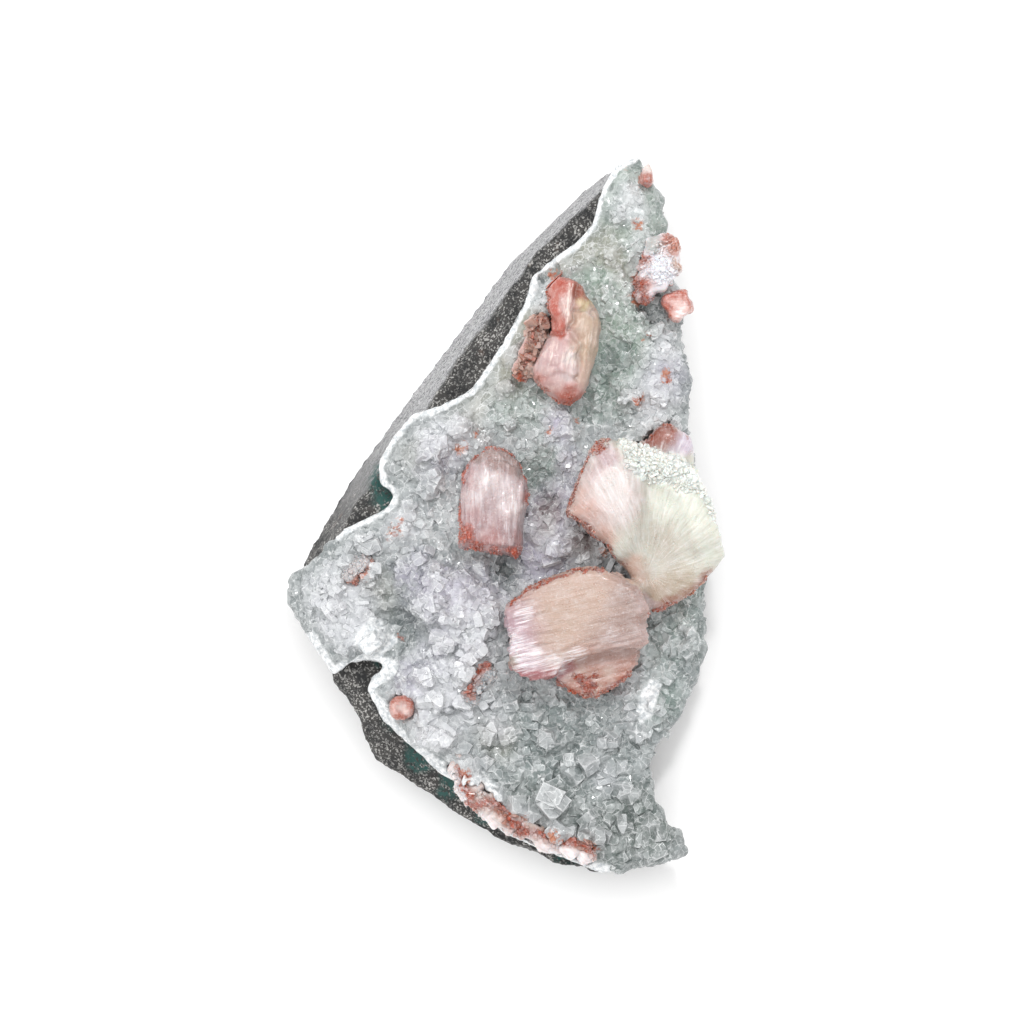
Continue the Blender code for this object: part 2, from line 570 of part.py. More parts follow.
def make_crust(shapes):
    """The crust: a lumpy layer with its blocks, and a pocket for each standing crystal."""
    crust = height_block("apophyllite_crust", floor_height, FLOOR_CELL, crust_height, CRUST_CELL)
    combine(crust, loft("crust_edge", CRUST_OUTLINE, [(0.0, 1.0), (CEILING, 1.0)]), "INTERSECT")
    combine(crust, make_blocks(), "UNION", tool_overlaps=True)
    for crystal in shapes.values():
        for shape in crystal:
            combine(crust, shape.solid(GAP), "DIFFERENCE")
    drop_chips(crust)
    return crust


def give_material(body):
    """The body's own material, in its colour."""
    colour, roughness = COLOURS[body.name]
    material = bpy.data.materials.new(body.name)
    material.use_nodes = True
    shader = material.node_tree.nodes["Principled BSDF"]
    shader.inputs["Base Color"].default_value = (*colour, 1.0)
    shader.inputs["Roughness"].default_value = roughness
    shader.inputs["Metallic"].default_value = 0.0
    body.data.materials.clear()
    body.data.materials.append(material)


def main():
    for old in list(bpy.data.objects):
        bpy.data.objects.remove(old)
    shapes = crystal_shapes()
    bodies = [make_basalt(), make_crust(shapes)]
    bodies += [joined(name, [shape.solid() for shape in parts]) for name, parts in shapes.items()]
    for body in bodies:
        give_material(body)
        body.data.transform(Matrix.Scale(METRES, 4))


main()
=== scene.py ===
"""Apophyllite specimen: the looks of the rock, its crust of small crystals and its large crystals.

Lengths are millimetres in the classes below and metres in Blender; MM turns one into the other.
The specimen lies on its flat back with its crystals up, and +Y runs to its narrow tip.
"""

import itertools
import logging
import math
from dataclasses import dataclass
from enum import Enum
from typing import Callable, Sequence

import bmesh
import bpy
import numpy as np
from mathutils import Matrix, Vector
from mathutils.kdtree import KDTree


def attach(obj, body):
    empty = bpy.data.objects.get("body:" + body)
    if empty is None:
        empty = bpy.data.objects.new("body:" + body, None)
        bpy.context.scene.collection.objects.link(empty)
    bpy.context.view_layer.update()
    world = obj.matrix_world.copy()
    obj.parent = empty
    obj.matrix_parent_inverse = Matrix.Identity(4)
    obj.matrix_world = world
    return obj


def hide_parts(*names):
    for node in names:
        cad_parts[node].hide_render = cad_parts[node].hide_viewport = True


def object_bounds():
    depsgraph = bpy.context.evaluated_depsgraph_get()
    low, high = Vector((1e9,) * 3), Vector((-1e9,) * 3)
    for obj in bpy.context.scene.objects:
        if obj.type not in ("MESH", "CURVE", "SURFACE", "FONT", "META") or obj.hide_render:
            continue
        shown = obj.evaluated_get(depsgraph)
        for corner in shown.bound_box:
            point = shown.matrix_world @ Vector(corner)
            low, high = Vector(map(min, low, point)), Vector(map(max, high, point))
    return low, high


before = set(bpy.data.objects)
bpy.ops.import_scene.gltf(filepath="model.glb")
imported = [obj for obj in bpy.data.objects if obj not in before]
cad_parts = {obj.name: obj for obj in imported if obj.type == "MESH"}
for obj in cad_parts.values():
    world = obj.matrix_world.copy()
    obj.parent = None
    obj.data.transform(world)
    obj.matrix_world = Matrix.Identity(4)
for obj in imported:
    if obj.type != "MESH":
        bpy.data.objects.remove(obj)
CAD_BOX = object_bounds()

MM = 0.001
BODY = "root"
BOX_CLEARANCE = 0.02
FULL_TURN = 360.0
FAN_REACH = 40.0
LOG = logging.getLogger("specimen")

Points = np.ndarray
Spot = tuple[float, float, float, float]
Line = Sequence[tuple[float, float]]
Band = tuple[float, Line]


# ---------------------------------------------------------------- noise and distances

class NoiseField:
    """Smooth noise on a repeating lattice of random values."""

    SIDE = 32
    LAYER_SHIFT = 7.3
    AXIS_SHIFT = 5.1
    RANGE = 1.5

    def __init__(self, seed: int) -> None:
        """Fills the lattice.

        Args:
            seed: the same seed gives the same noise.
        """
        self.lattice = np.random.default_rng(seed).uniform(-1.0, 1.0, (self.SIDE,) * 3)

    def at(self, points: Points, cell: float | Sequence[float]) -> np.ndarray:
        """Noise at each point.

        Args:
            points: places, one row each.
            cell: size of the noise's cells, one for all axes or one for each.

        Returns:
            One value from -1 to 1 for each point.
        """
        scaled = points / np.asarray(cell)
        corner = np.floor(scaled).astype(int)
        share = scaled - corner
        share = share * share * (3.0 - 2.0 * share)
        total = np.zeros(len(points))
        for step in np.ndindex(2, 2, 2):
            index = (corner + step) % self.SIDE
            weight = np.prod(np.where(step, share, 1.0 - share), axis=1)
            total += weight * self.lattice[index[:, 0], index[:, 1], index[:, 2]]
        return total

    def layered(self, points: Points, cell: float, layers: int = 3) -> np.ndarray:
        """Noise in layers, each twice as fine and half as strong as the last.

        Args:
            points: places, one row each.
            cell: size of the coarsest layer's cells.
            layers: how many layers.

        Returns:
            One value for each point, mostly from -1 to 1.
        """
        total = np.zeros(len(points))
        for layer in range(layers):
            total += self.at(points + self.LAYER_SHIFT * layer, cell / 2.0**layer) / 2.0**layer
        return total / self.RANGE

    def wander(self, points: Points, cell: float, reach: float) -> Points:
        """The points, each moved sideways a little, so that what is read there gets uneven edges.

        Args:
            points: places, one row each.
            cell: size of the noise's cells.
            reach: how far a point moves at most.

        Returns:
            The moved points.
        """
        along_x, along_y = self.at(points, cell), self.at(points + self.AXIS_SHIFT, cell)
        return points + reach * np.stack([along_x, along_y, np.zeros(len(points))], axis=1)


def bells(points: Points, spots: Sequence[Spot]) -> np.ndarray:
    """Sum of round spots seen from above, each falling smoothly to nothing at its reach.

    Args:
        points: places in millimetres.
        spots: x, y, reach and strength of each.

    Returns:
        The strength at each point.
    """
    total = np.zeros(len(points))
    for x, y, reach, strength in spots:
        share = 1.0 - ((points[:, 0] - x) ** 2 + (points[:, 1] - y) ** 2) / reach**2
        total += strength * np.clip(share, 0.0, 1.0) ** 2
    return total


def line_distance(points: Points, line: Line) -> np.ndarray:
    """Distance to a line of several stretches, seen from above.

    Args:
        points: places in millimetres.
        line: the line's corners.

    Returns:
        The distance of each point.
    """
    nearest = np.full(len(points), np.inf)
    for start, end in zip(line, line[1:]):
        start, along = np.array(start), np.subtract(end, start)
        away = points[:, :2] - start
        share = np.clip(away @ along / (along @ along), 0.0, 1.0)
        nearest = np.minimum(nearest, np.linalg.norm(away - share[:, None] * along, axis=1))
    return nearest


def fade(values: np.ndarray, full: float, none: float) -> np.ndarray:
    """Smooth step.

    Args:
        values: what it goes by.
        full: the value at which it is 1.
        none: the value at which it is 0.

    Returns:
        From 0 to 1 for each value.
    """
    share = np.clip((values - none) / (full - none), 0.0, 1.0)
    return share * share * (3.0 - 2.0 * share)


def unit(vectors: Points) -> Points:
    """The vectors at length 1."""
    return vectors / np.linalg.norm(vectors, axis=1)[:, None]


class Relief:
    """How far a surface stands above its surroundings, seen from above."""

    CELL = 1.0
    ROUNDS = 14

    def __init__(self, points: Points) -> None:
        """Averages the surface's height over each neighbourhood.

        Args:
            points: places on the surface, in millimetres.
        """
        self.low = points[:, :2].min(axis=0) - self.CELL
        index = self.cells(points)
        heights = np.full(index.max(axis=0) + 2, -np.inf)
        np.maximum.at(heights, tuple(index.T), points[:, 2])
        known = np.isfinite(heights)
        total, weight = np.where(known, heights, 0.0), known.astype(float)
        for _ in range(self.ROUNDS):
            total, weight = self.spread(total), self.spread(weight)
        self.around = total / np.maximum(weight, 1e-6)

    def cells(self, points: Points) -> np.ndarray:
        """Which cell of the lattice each point is in."""
        return ((points[:, :2] - self.low) / self.CELL).astype(int)

    @staticmethod
    def spread(values: np.ndarray) -> np.ndarray:
        """Each cell's average with its eight neighbours.

        Args:
            values: the cells' values.

        Returns:
            The averages, in the same rows and columns.
        """
        padded = np.pad(values, 1)
        rows, columns = values.shape
        return sum(padded[x : x + rows, y : y + columns] for x in range(3) for y in range(3)) / 9.0

    def above(self, points: Points) -> np.ndarray:
        """How far each point stands above its surroundings, in millimetres."""
        index = np.clip(self.cells(points), 0, np.array(self.around.shape) - 1)
        return points[:, 2] - self.around[tuple(index.T)]


# ---------------------------------------------------------------- meshes

def new_piece(name: str, data: bpy.types.ID) -> bpy.types.Object:
    """Puts a mesh, camera or light in the scene, at the origin.

    Args:
        name: the object's name.
        data: what it shows.

    Returns:
        The new object.
    """
    piece = bpy.data.objects.new(name, data)
    bpy.context.scene.collection.objects.link(piece)
    return piece


def vectors_of(mesh: bpy.types.Mesh, name: str) -> Points:
    """Reads one vector from every vertex.

    Args:
        mesh: the mesh.
        name: which vector, by Blender's name for it.

    Returns:
        The vectors, one row each.
    """
    flat = np.empty(len(mesh.vertices) * 3, np.float32)
    mesh.vertices.foreach_get(name, flat)
    return flat.reshape(-1, 3).astype(float)


def points_of(mesh: bpy.types.Mesh) -> Points:
    """The vertices' places in millimetres, one row each."""
    return vectors_of(mesh, "co") / MM


def normals_of(mesh: bpy.types.Mesh) -> Points:
    """The vertices' normals, one row each."""
    return vectors_of(mesh, "normal")


def inside_box(points: Points) -> Points:
    """The points, with any that lie outside the CAD part's box brought back to it."""
    low, high = (np.array(corner) / MM for corner in CAD_BOX)
    return np.clip(points, low + BOX_CLEARANCE, high - BOX_CLEARANCE)


def move_points(mesh: bpy.types.Mesh, points: Points) -> None:
    """Sets the vertices' places, given in millimetres.

    Args:
        mesh: the mesh.
        points: the new places, one row for each vertex.
    """
    flat_back = points[:, 2] < BOX_CLEARANCE
    kept = inside_box(points)
    kept[flat_back, 2] = 0.0
    mesh.vertices.foreach_set("co", (kept * MM).astype(np.float32).ravel())
    mesh.update()


def set_mask(mesh: bpy.types.Mesh, name: str, values: np.ndarray) -> None:
    """Stores one value from 0 to 1 for each vertex, for a material to read.

    Args:
        mesh: where it is stored.
        name: what it is called.
        values: the values, which are clipped.
    """
    layer = mesh.attributes.new(name, "FLOAT", "POINT")
    layer.data.foreach_set("value", np.clip(values, 0.0, 1.0).astype(np.float32))


def mask_of(mesh: bpy.types.Mesh, name: str) -> np.ndarray:
    """The values that are stored under that name, one for each vertex.

    Args:
        mesh: the mesh.
        name: the name.

    Returns:
        The values, from 0 to 1.
    """
    values = np.empty(len(mesh.vertices), np.float32)
    mesh.attributes[name].data.foreach_get("value", values)
    return values


def set_tint(mesh: bpy.types.Mesh, colours: np.ndarray) -> None:
    """Stores each vertex's own colour, given as linear red, green, blue and alpha."""
    layer = mesh.attributes.new("tint", "FLOAT_COLOR", "POINT")
    layer.data.foreach_set("color", colours.astype(np.float32).ravel())


def soften(mesh: bpy.types.Mesh, rows: np.ndarray, rounds: int) -> None:
    """Smooths part of a mesh.

    Args:
        mesh: the mesh.
        rows: 1 at each vertex to smooth, else 0.
        rounds: how many times.
    """
    bm = bmesh.new()
    bm.from_mesh(mesh)
    chosen = [vert for vert, wanted in zip(bm.verts, rows) if wanted]
    for _ in range(rounds):
        bmesh.ops.smooth_vert(bm, verts=chosen, factor=0.5, use_axis_x=True, use_axis_y=True, use_axis_z=True)
    bm.to_mesh(mesh)
    bm.free()
    mesh.update()


def fine_copy(node: str, name: str, cell: float, smoothing: int) -> bpy.types.Object:
    """A CAD node's shape as a fine, even mesh.

    Args:
        node: the CAD node.
        name: the new piece's name.
        cell: size of the new mesh's faces, in millimetres.
        smoothing: how many times its vertices are smoothed.

    Returns:
        The new piece, which stands for the node.
    """
    bm = bmesh.new()
    bm.from_mesh(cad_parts[node].data)
    bmesh.ops.remove_doubles(bm, verts=bm.verts[:], dist=1e-6)
    rough = bpy.data.meshes.new(name)
    bm.to_mesh(rough)
    bm.free()
    piece = new_piece(name, rough)
    remesh = piece.modifiers.new("Even faces", "REMESH")
    remesh.mode = "VOXEL"
    remesh.voxel_size = cell * MM
    graph = bpy.context.evaluated_depsgraph_get()
    mesh = bpy.data.meshes.new_from_object(piece.evaluated_get(graph))
    piece.modifiers.clear()
    soften(mesh, np.ones(len(mesh.vertices)), smoothing)
    mesh.name = name
    piece.data = mesh
    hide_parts(node)
    return piece


# ---------------------------------------------------------------- materials

def linear(hex_code: str) -> tuple[float, float, float, float]:
    """Turns an sRGB hex value into linear red, green, blue and alpha."""
    parts = [int(hex_code[place : place + 2], 16) / 255.0 for place in (1, 3, 5)]
    return tuple(((p + 0.055) / 1.055) ** 2.4 if p > 0.04045 else p / 12.92 for p in parts) + (1.0,)


def blend(colours: np.ndarray, share: np.ndarray, colour: str) -> np.ndarray:
    """Mixes a colour into others.

    Args:
        colours: linear red, green, blue and alpha, one row each.
        share: how much each row takes of the new colour.
        colour: the new colour, as a hex value.

    Returns:
        The mixed colours.
    """
    return colours + share[:, None] * (np.array(linear(colour)) - colours)


@dataclass(frozen=True)
class Region:
    """Part of a surface seen from above, as round spots and as bands of a given half width."""

    spots: tuple[Spot, ...] = ()
    bands: tuple[Band, ...] = ()

    def share(self, points: Points) -> np.ndarray:
        """How far each point is in the region, from 0 to 1.

        Args:
            points: where it is asked, in millimetres.

        Returns:
            The share at each point.
        """
        share = bells(points, self.spots)
        for width, line in self.bands:
            share = np.maximum(share, fade(line_distance(points, line), 0.3 * width, width))
        return np.tanh(1.2 * share)


@dataclass(frozen=True)
class Tint:
    """A colour over part of a surface."""

    colour: str
    spots: tuple[Spot, ...] = ()
    bands: tuple[Band, ...] = ()

    def over(self, colours: np.ndarray, points: Points) -> np.ndarray:
        """The colours, with this one laid over them."""
        return blend(colours, Region(self.spots, self.bands).share(points), self.colour)


def layered_tints(points: Points, body: str, tints: Sequence[Tint]) -> np.ndarray:
    """Lays tints over one another.

    Args:
        points: places in millimetres.
        body: the colour under them all.
        tints: the tints, lowest first.

    Returns:
        Linear red, green, blue and alpha for each point.
    """
    colours = np.tile(linear(body), (len(points), 1))
    for tint in tints:
        colours = tint.over(colours, points)
    return colours


def add_node(tree: bpy.types.NodeTree, kind: str, settings: dict, inputs: dict) -> bpy.types.Node:
    """Adds a node with its settings and links.

    Args:
        tree: the material's nodes.
        kind: the node's type.
        settings: its properties.
        inputs: for each input, a value, or a node and the name or number of its output.

    Returns:
        The new node.
    """
    node = tree.nodes.new(kind)
    for name, value in settings.items():
        setattr(node, name, value)
    for name, value in inputs.items():
        if isinstance(value, tuple) and isinstance(value[0], bpy.types.Node):
            tree.links.new(value[0].outputs[value[1]], node.inputs[name])
        else:
            node.inputs[name].default_value = value
    return node


Output = tuple[bpy.types.Node, str | int]
FACTOR, FIRST, SECOND, MIXED = 0, 6, 7, 2  # sockets of a Mix node that mixes colours


class Painter:
    """Builds one material's nodes."""

    def __init__(self, name: str) -> None:
        """Starts a material that has only its shader and its output.

        Args:
            name: what the material is and how it was made.
        """
        self.material = bpy.data.materials.new(name)
        self.material.use_nodes = True
        self.tree = self.material.node_tree
        self.shader = self.tree.nodes["Principled BSDF"]
        self.place = (add_node(self.tree, "ShaderNodeTexCoord", {}, {}), "Object")

    def mask(self, name: str) -> Output:
        """A value stored on the mesh."""
        return add_node(self.tree, "ShaderNodeAttribute", {"attribute_name": name}, {}), "Fac"

    def tint(self) -> Output:
        """The colour stored on the mesh."""
        return add_node(self.tree, "ShaderNodeAttribute", {"attribute_name": "tint"}, {}), "Color"

    def noise(self, grain: float, detail: float = 3.0, roughness: float = 0.55) -> Output:
        """Noise from 0 to 1.

        Args:
            grain: size of its features, in millimetres.
            detail: how many finer layers it has.
            roughness: how strong the finer layers are.

        Returns:
            The node and its output.
        """
        inputs = {"Vector": self.place, "Scale": 1.0 / (grain * MM), "Detail": detail, "Roughness": roughness}
        return add_node(self.tree, "ShaderNodeTexNoise", {}, inputs), "Fac"

    def lines(self, place: Output) -> Output:
        """Noise from 0 to 1 whose features measure one unit of a place that stretched() gives."""
        inputs = {"Vector": place, "Scale": 1.0, "Detail": 4.0, "Roughness": 0.65}
        return add_node(self.tree, "ShaderNodeTexNoise", {}, inputs), "Fac"

    def stretched(self, size: Sequence[float], turn: float = 0.0) -> Output:
        """Object coordinates turned about Z, then in units of a given size.

        Args:
            size: the length of one unit along each turned axis, in millimetres.
            turn: how far the first axis is turned from +X, in degrees.

        Returns:
            The node and its output.
        """
        rotation = (0.0, 0.0, math.radians(-turn))
        turned = add_node(self.tree, "ShaderNodeMapping", {}, {"Vector": self.place, "Rotation": rotation})
        scale = tuple(1.0 / (length * MM) for length in size)
        return add_node(self.tree, "ShaderNodeMapping", {}, {"Vector": (turned, 0), "Scale": scale}), 0

    def facets(self, grain: float) -> tuple[Output, Output]:
        """Small flat faces side by side, each tilted its own way.

        Args:
            grain: their size in millimetres.

        Returns:
            A height for a bump, and a value from 0 to 1 that differs from face to face.
        """
        place = self.stretched((grain, grain, grain))
        cells = add_node(self.tree, "ShaderNodeTexVoronoi", {}, {"Vector": place, "Scale": 1.0})
        subtract, dot = {"operation": "SUBTRACT"}, {"operation": "DOT_PRODUCT"}
        grey = (0.5, 0.5, 0.5)
        away = add_node(self.tree, "ShaderNodeVectorMath", subtract, {0: place, 1: (cells, "Position")})
        tilt = add_node(self.tree, "ShaderNodeVectorMath", subtract, {0: (cells, "Color"), 1: grey})
        height = add_node(self.tree, "ShaderNodeVectorMath", dot, {0: (away, 0), 1: (tilt, 0)})
        return (height, "Value"), (cells, "Color")

    def joins(self, grain: float) -> Output:
        """How far each place is from the nearest join between angular cells of the given size, in cells."""
        edges, inputs = {"feature": "DISTANCE_TO_EDGE"}, {"Vector": self.place, "Scale": 1.0 / (grain * MM)}
        return add_node(self.tree, "ShaderNodeTexVoronoi", edges, inputs), "Distance"

    def steps(self, source: Output, low: float, high: float, first: float = 0.0, last: float = 1.0) -> Output:
        """Stretches a range of values over another, and cuts off what lies beyond it.

        Args:
            source: the values.
            low: the one that becomes first.
            high: the one that becomes last.
            first: where the new range starts.
            last: where it ends.

        Returns:
            The node and its output.
        """
        inputs = {"Value": source, "From Min": low, "From Max": high, "To Min": first, "To Max": last}
        return add_node(self.tree, "ShaderNodeMapRange", {"clamp": True}, inputs), 0

    def maths(self, operation: str, first: object, second: object) -> Output:
        """One sum of two values, each a number or an output."""
        return add_node(self.tree, "ShaderNodeMath", {"operation": operation}, {0: first, 1: second}), 0

    def mix(self, factor: object, first: object, second: object) -> Output:
        """Mixes two colours.

        Args:
            factor: how much of the second, as a number or an output.
            first: a hex value or an output.
            second: a hex value or an output.

        Returns:
            The node and its output.
        """
        colours = [linear(colour) if isinstance(colour, str) else colour for colour in (first, second)]
        inputs = {FACTOR: factor, FIRST: colours[0], SECOND: colours[1]}
        return add_node(self.tree, "ShaderNodeMix", {"data_type": "RGBA"}, inputs), MIXED

    def over(self, under: object, colour: object, source: Output, none: float, full: float,
             share: object = 1.0) -> Output:
        """Lays a colour over another, by how far a value is along a range.

        Args:
            under: the colour below, as a hex value or an output.
            colour: the one laid over it.
            source: the value that it goes by.
            none: the value where nothing of it shows.
            full: the value where all of it shows.
            share: how much of it shows at most, as a number or an output.

        Returns:
            The node and its output.
        """
        cover = self.steps(source, none, full)
        if share != 1.0:
            cover = self.maths("MULTIPLY", cover, share)
        return self.mix(cover, under, colour)

    def raised(self, source: Output, name: str, weight: float) -> Output:
        """A value raised where the mask of that name is strong."""
        return self.maths("ADD", source, self.maths("MULTIPLY", self.mask(name), weight))

    def bump(self, height: Output, depth: float, strength: object = 1.0,
             under: Output | None = None) -> Output:
        """A bump, on top of another one if given.

        Args:
            height: what it is read from.
            depth: its height in millimetres where that reads 1.
            strength: how much of it shows, as a number or an output.
            under: the bump below it.

        Returns:
            The node and its output.
        """
        inputs = {"Height": height, "Distance": depth * MM, "Strength": strength}
        if under is not None:
            inputs["Normal"] = under
        return add_node(self.tree, "ShaderNodeBump", {}, inputs), "Normal"

    def finish(self, values: dict, links: dict) -> bpy.types.Material:
        """Sets the shader's own values and links its other inputs.

        Args:
            values: a constant for each named input.
            links: an output for each named input.

        Returns:
            The material.
        """
        for name, value in values.items():
            self.shader.inputs[name].default_value = value
        for name, (node, output) in links.items():
            self.tree.links.new(node.outputs[output], self.shader.inputs[name])
        return self.material


@dataclass(frozen=True)
class BasaltFinish:
    """Fine-grained basalt: dark with light grains where it broke, pale and lined where it is sawn."""

    fresh: str = "#1f2021"
    dusty: str = "#444240"
    feldspar: str = "#c4c2be"
    rust: str = "#5b463b"
    sawn: str = "#c9c9ca"
    sawn_line: str = "#9a9a9c"
    sawn_grain: str = "#3f3f43"
    celadonite: str = "#234f4a"
    grain: float = 0.42
    speck: float = 0.24
    saw_turn: float = 54.0

    def material(self) -> bpy.types.Material:
        """Builds the material.

        Returns:
            The material.
        """
        paint = Painter("basalt, broken and sawn")
        rock = paint.over(self.fresh, self.dusty, paint.noise(2.6, 4.0, 0.6), 0.36, 0.64)
        rock = paint.over(rock, self.rust, paint.noise(4.5, 3.0), 0.66, 0.80)
        clusters = paint.steps(paint.noise(2.6, 4.0, 0.65), 0.36, 0.64, 0.15, 0.95)
        rock = paint.over(rock, self.feldspar, paint.facets(self.speck)[1], 0.60, 0.80, clusters)
        lines = paint.lines(paint.stretched((5.0, 0.20, 0.20), self.saw_turn))
        cut = paint.over(self.sawn_line, self.sawn, lines, 0.40, 0.58)
        cut = paint.over(cut, self.sawn_grain, paint.facets(self.speck)[1], 0.52, 0.68, 0.75)
        colour = paint.mix(paint.mask("sawn"), rock, cut)
        patches = paint.noise(0.8, 4.0, 0.65)
        colour = paint.over(colour, self.celadonite, patches, 0.40, 0.52, paint.mask("celadonite"))
        fine = paint.bump(paint.noise(self.grain, 4.0, 0.75), 0.35)
        saw = paint.bump(lines, 0.08, under=fine)
        return paint.finish(
            {"Roughness": 0.66, "IOR": 1.55, "Specular IOR Level": 0.4}, {"Base Color": colour, "Normal": saw}
        )


@dataclass(frozen=True)
class DruseFinish:
    """Apophyllite, grown as a crust of small glassy blocks: milky and clear faces side by side, with painted
    glints in white along their edges and joins.
    """

    name: str = "apophyllite, natural druse"
    milky: str = "#e2e5e5"
    clear: str = "#86908f"
    # edge: white for the painted glints on the crystals' edges and joins, and the chalcedony's own white.
    edge: str = "#fbfcfc"
    chalcedony: str = "#c3c8cb"
    iron: str = "#9c4527"
    iron_pale: str = "#bb7f66"
    coarse: float = 1.25
    fine: float = 0.55
    transmission: float = 0.12

    def material(self) -> bpy.types.Material:
        """Builds the material.

        Returns:
            The material.
        """
        paint = Painter(self.name)
        heights, tone = paint.facets(self.coarse)
        fine_heights, fine_tone = paint.facets(self.fine)
        colour = paint.over(paint.tint(), self.milky, paint.raised(tone, "tone", 0.5), 0.62, 1.05, 0.32)
        colour = paint.over(colour, self.clear, fine_tone, 0.46, 0.26, 0.14)
        colour = paint.over(colour, self.milky, paint.noise(0.5, 4.0, 0.7), 0.52, 0.70, 0.45)
        # Painted glints: white along the crystals' edges, then thin white lines at the joins between facets.
        colour = paint.over(colour, self.edge, paint.mask("edge"), 0.84, 0.98, 0.35)
        shown = paint.maths("MULTIPLY", paint.steps(paint.noise(2.0), 0.46, 0.56), 0.50)
        colour = paint.over(colour, self.edge, paint.joins(self.coarse), 0.050, 0.015, shown)
        red = paint.over(self.iron, self.iron_pale, paint.noise(1.2, 3.0), 0.40, 0.62)
        colour = paint.over(colour, red, paint.raised(paint.noise(0.6, 4.0, 0.7), "iron", 0.42), 0.74, 0.92)
        white = paint.over(self.chalcedony, self.edge, paint.noise(0.7, 4.0, 0.7), 0.40, 0.58)
        colour = paint.mix(paint.mask("chalcedony"), colour, white)
        rough = paint.steps(fine_tone, 0.2, 0.8, 0.10, 0.50)
        bump = paint.bump(heights, self.coarse, paint.maths("MULTIPLY", paint.mask("ground"), 0.60))
        bump = paint.bump(fine_heights, self.fine, 0.34, under=bump)
        values = {
            "IOR": 1.535, "Transmission Weight": self.transmission, "Subsurface Weight": 0.10,
            "Subsurface Radius": (1.0, 1.0, 1.0), "Subsurface Scale": 1.0 * MM,
        }
        return paint.finish(values, {"Base Color": colour, "Roughness": rough, "Normal": bump})


@dataclass(frozen=True)
class PearlFinish:
    """Stilbite or heulandite, grown in pearly plates: fine lines, frost with painted glare, and red iron dust.
    """

    name: str
    # frost: pale frosting, and painted glare where the frost mask is strong.
    frost: str = "#f3eff1"
    shade: str = "#a98a84"
    iron: str = "#a3411f"
    iron_deep: str = "#7a2c17"
    grain_turn: float = 0.0
    grain: tuple[float, float, float] = (5.0, 0.22, 0.8)
    streaky_iron: float = 0.0
    line_strength: float = 0.34
    transmission: float = 0.14
    roughness: float = 0.30

    def grain_lines(self, paint: Painter) -> Output:
        """The fine lines, as noise that is long along the grain."""
        return paint.lines(paint.stretched(self.grain, self.grain_turn))

    def line_weight(self, paint: Painter) -> Output | float:
        """How strongly the lines show."""
        return self.line_strength

    def material(self) -> bpy.types.Material:
        """Builds the material.

        Returns:
            The material.
        """
        paint = Painter(self.name)
        lines = self.grain_lines(paint)
        clouds = paint.noise(1.8, 4.0, 0.65)
        fine = paint.noise(0.32, 3.0, 0.7)
        specks = paint.maths("MULTIPLY", paint.noise(0.5, 4.0, 0.7), 1.0 - self.streaky_iron)
        stain = paint.maths("ADD", specks, paint.maths("MULTIPLY", lines, self.streaky_iron))
        red = paint.over(self.iron, self.iron_deep, paint.noise(0.9, 3.0), 0.42, 0.62)
        colour = paint.over(paint.tint(), red, paint.raised(stain, "iron", 0.52), 0.76, 0.96)
        strength = self.line_weight(paint)
        colour = paint.over(colour, self.shade, lines, 0.50, 0.30, strength)
        colour = paint.over(colour, self.frost, lines, 0.52, 0.70, strength)
        colour = paint.over(colour, self.frost, clouds, 0.48, 0.72, 0.22)
        colour = paint.over(colour, self.frost, fine, 0.54, 0.70, 0.30)
        # Painted glare: near white where the frost mask is strong.
        colour = paint.over(colour, self.frost, paint.raised(lines, "frost", 0.36), 0.68, 0.98)
        bump = paint.bump(lines, 0.09)
        bump = paint.bump(fine, 0.05, under=bump)
        rough = paint.steps(clouds, 0.35, 0.65, self.roughness - 0.10, self.roughness + 0.15)
        values = {
            "IOR": 1.50, "Transmission Weight": self.transmission,
            "Subsurface Weight": 0.45, "Subsurface Radius": (1.0, 0.62, 0.50), "Subsurface Scale": 1.6 * MM,
            "Coat Weight": 0.30, "Coat Roughness": 0.15,
        }
        return paint.finish(values, {"Base Color": colour, "Roughness": rough, "Normal": bump})


@dataclass(frozen=True)
class SheafFinish(PearlFinish):
    """Stilbite: a pearly pink block, and a pale silky sheaf whose fibres spread from its root."""

    strand_turn: float = 2.0
    strand_length: float = 3.4
    fibre_strength: float = 0.44

    def grain_lines(self, paint: Painter) -> Output:
        """The block's straight lines, and the sheaf's fibres, which follow the angle about its root.

        Args:
            paint: the material's painter.

        Returns:
            The node and its output.
        """
        straight = super().grain_lines(paint)
        turn = paint.maths("MULTIPLY", paint.mask("turn"), FULL_TURN / self.strand_turn)
        reach = paint.maths("MULTIPLY", paint.mask("reach"), FAN_REACH / self.strand_length)
        spread = add_node(paint.tree, "ShaderNodeCombineXYZ", {}, {"X": turn, "Y": reach})
        fibres = paint.lines((spread, 0))
        return paint.mix(paint.mask("block"), fibres, straight)

    def line_weight(self, paint: Painter) -> Output | float:
        """The sheaf's fibres show more than the block's lines."""
        return paint.steps(paint.mask("block"), 0.0, 1.0, self.fibre_strength, self.line_strength)


@dataclass(frozen=True)
class FloorFinish:
    """Matt white card: an even pale ground with no marks."""

    card: str = "#ffffff"
    fibre: str = "#fdfdfd"

    def material(self) -> bpy.types.Material:
        """Builds the material.

        Returns:
            The material.
        """
        paint = Painter("card, matt white")
        colour = paint.mix(paint.noise(40.0), self.card, self.fibre)
        return paint.finish({"Roughness": 0.9}, {"Base Color": colour})


# ---------------------------------------------------------------- rock

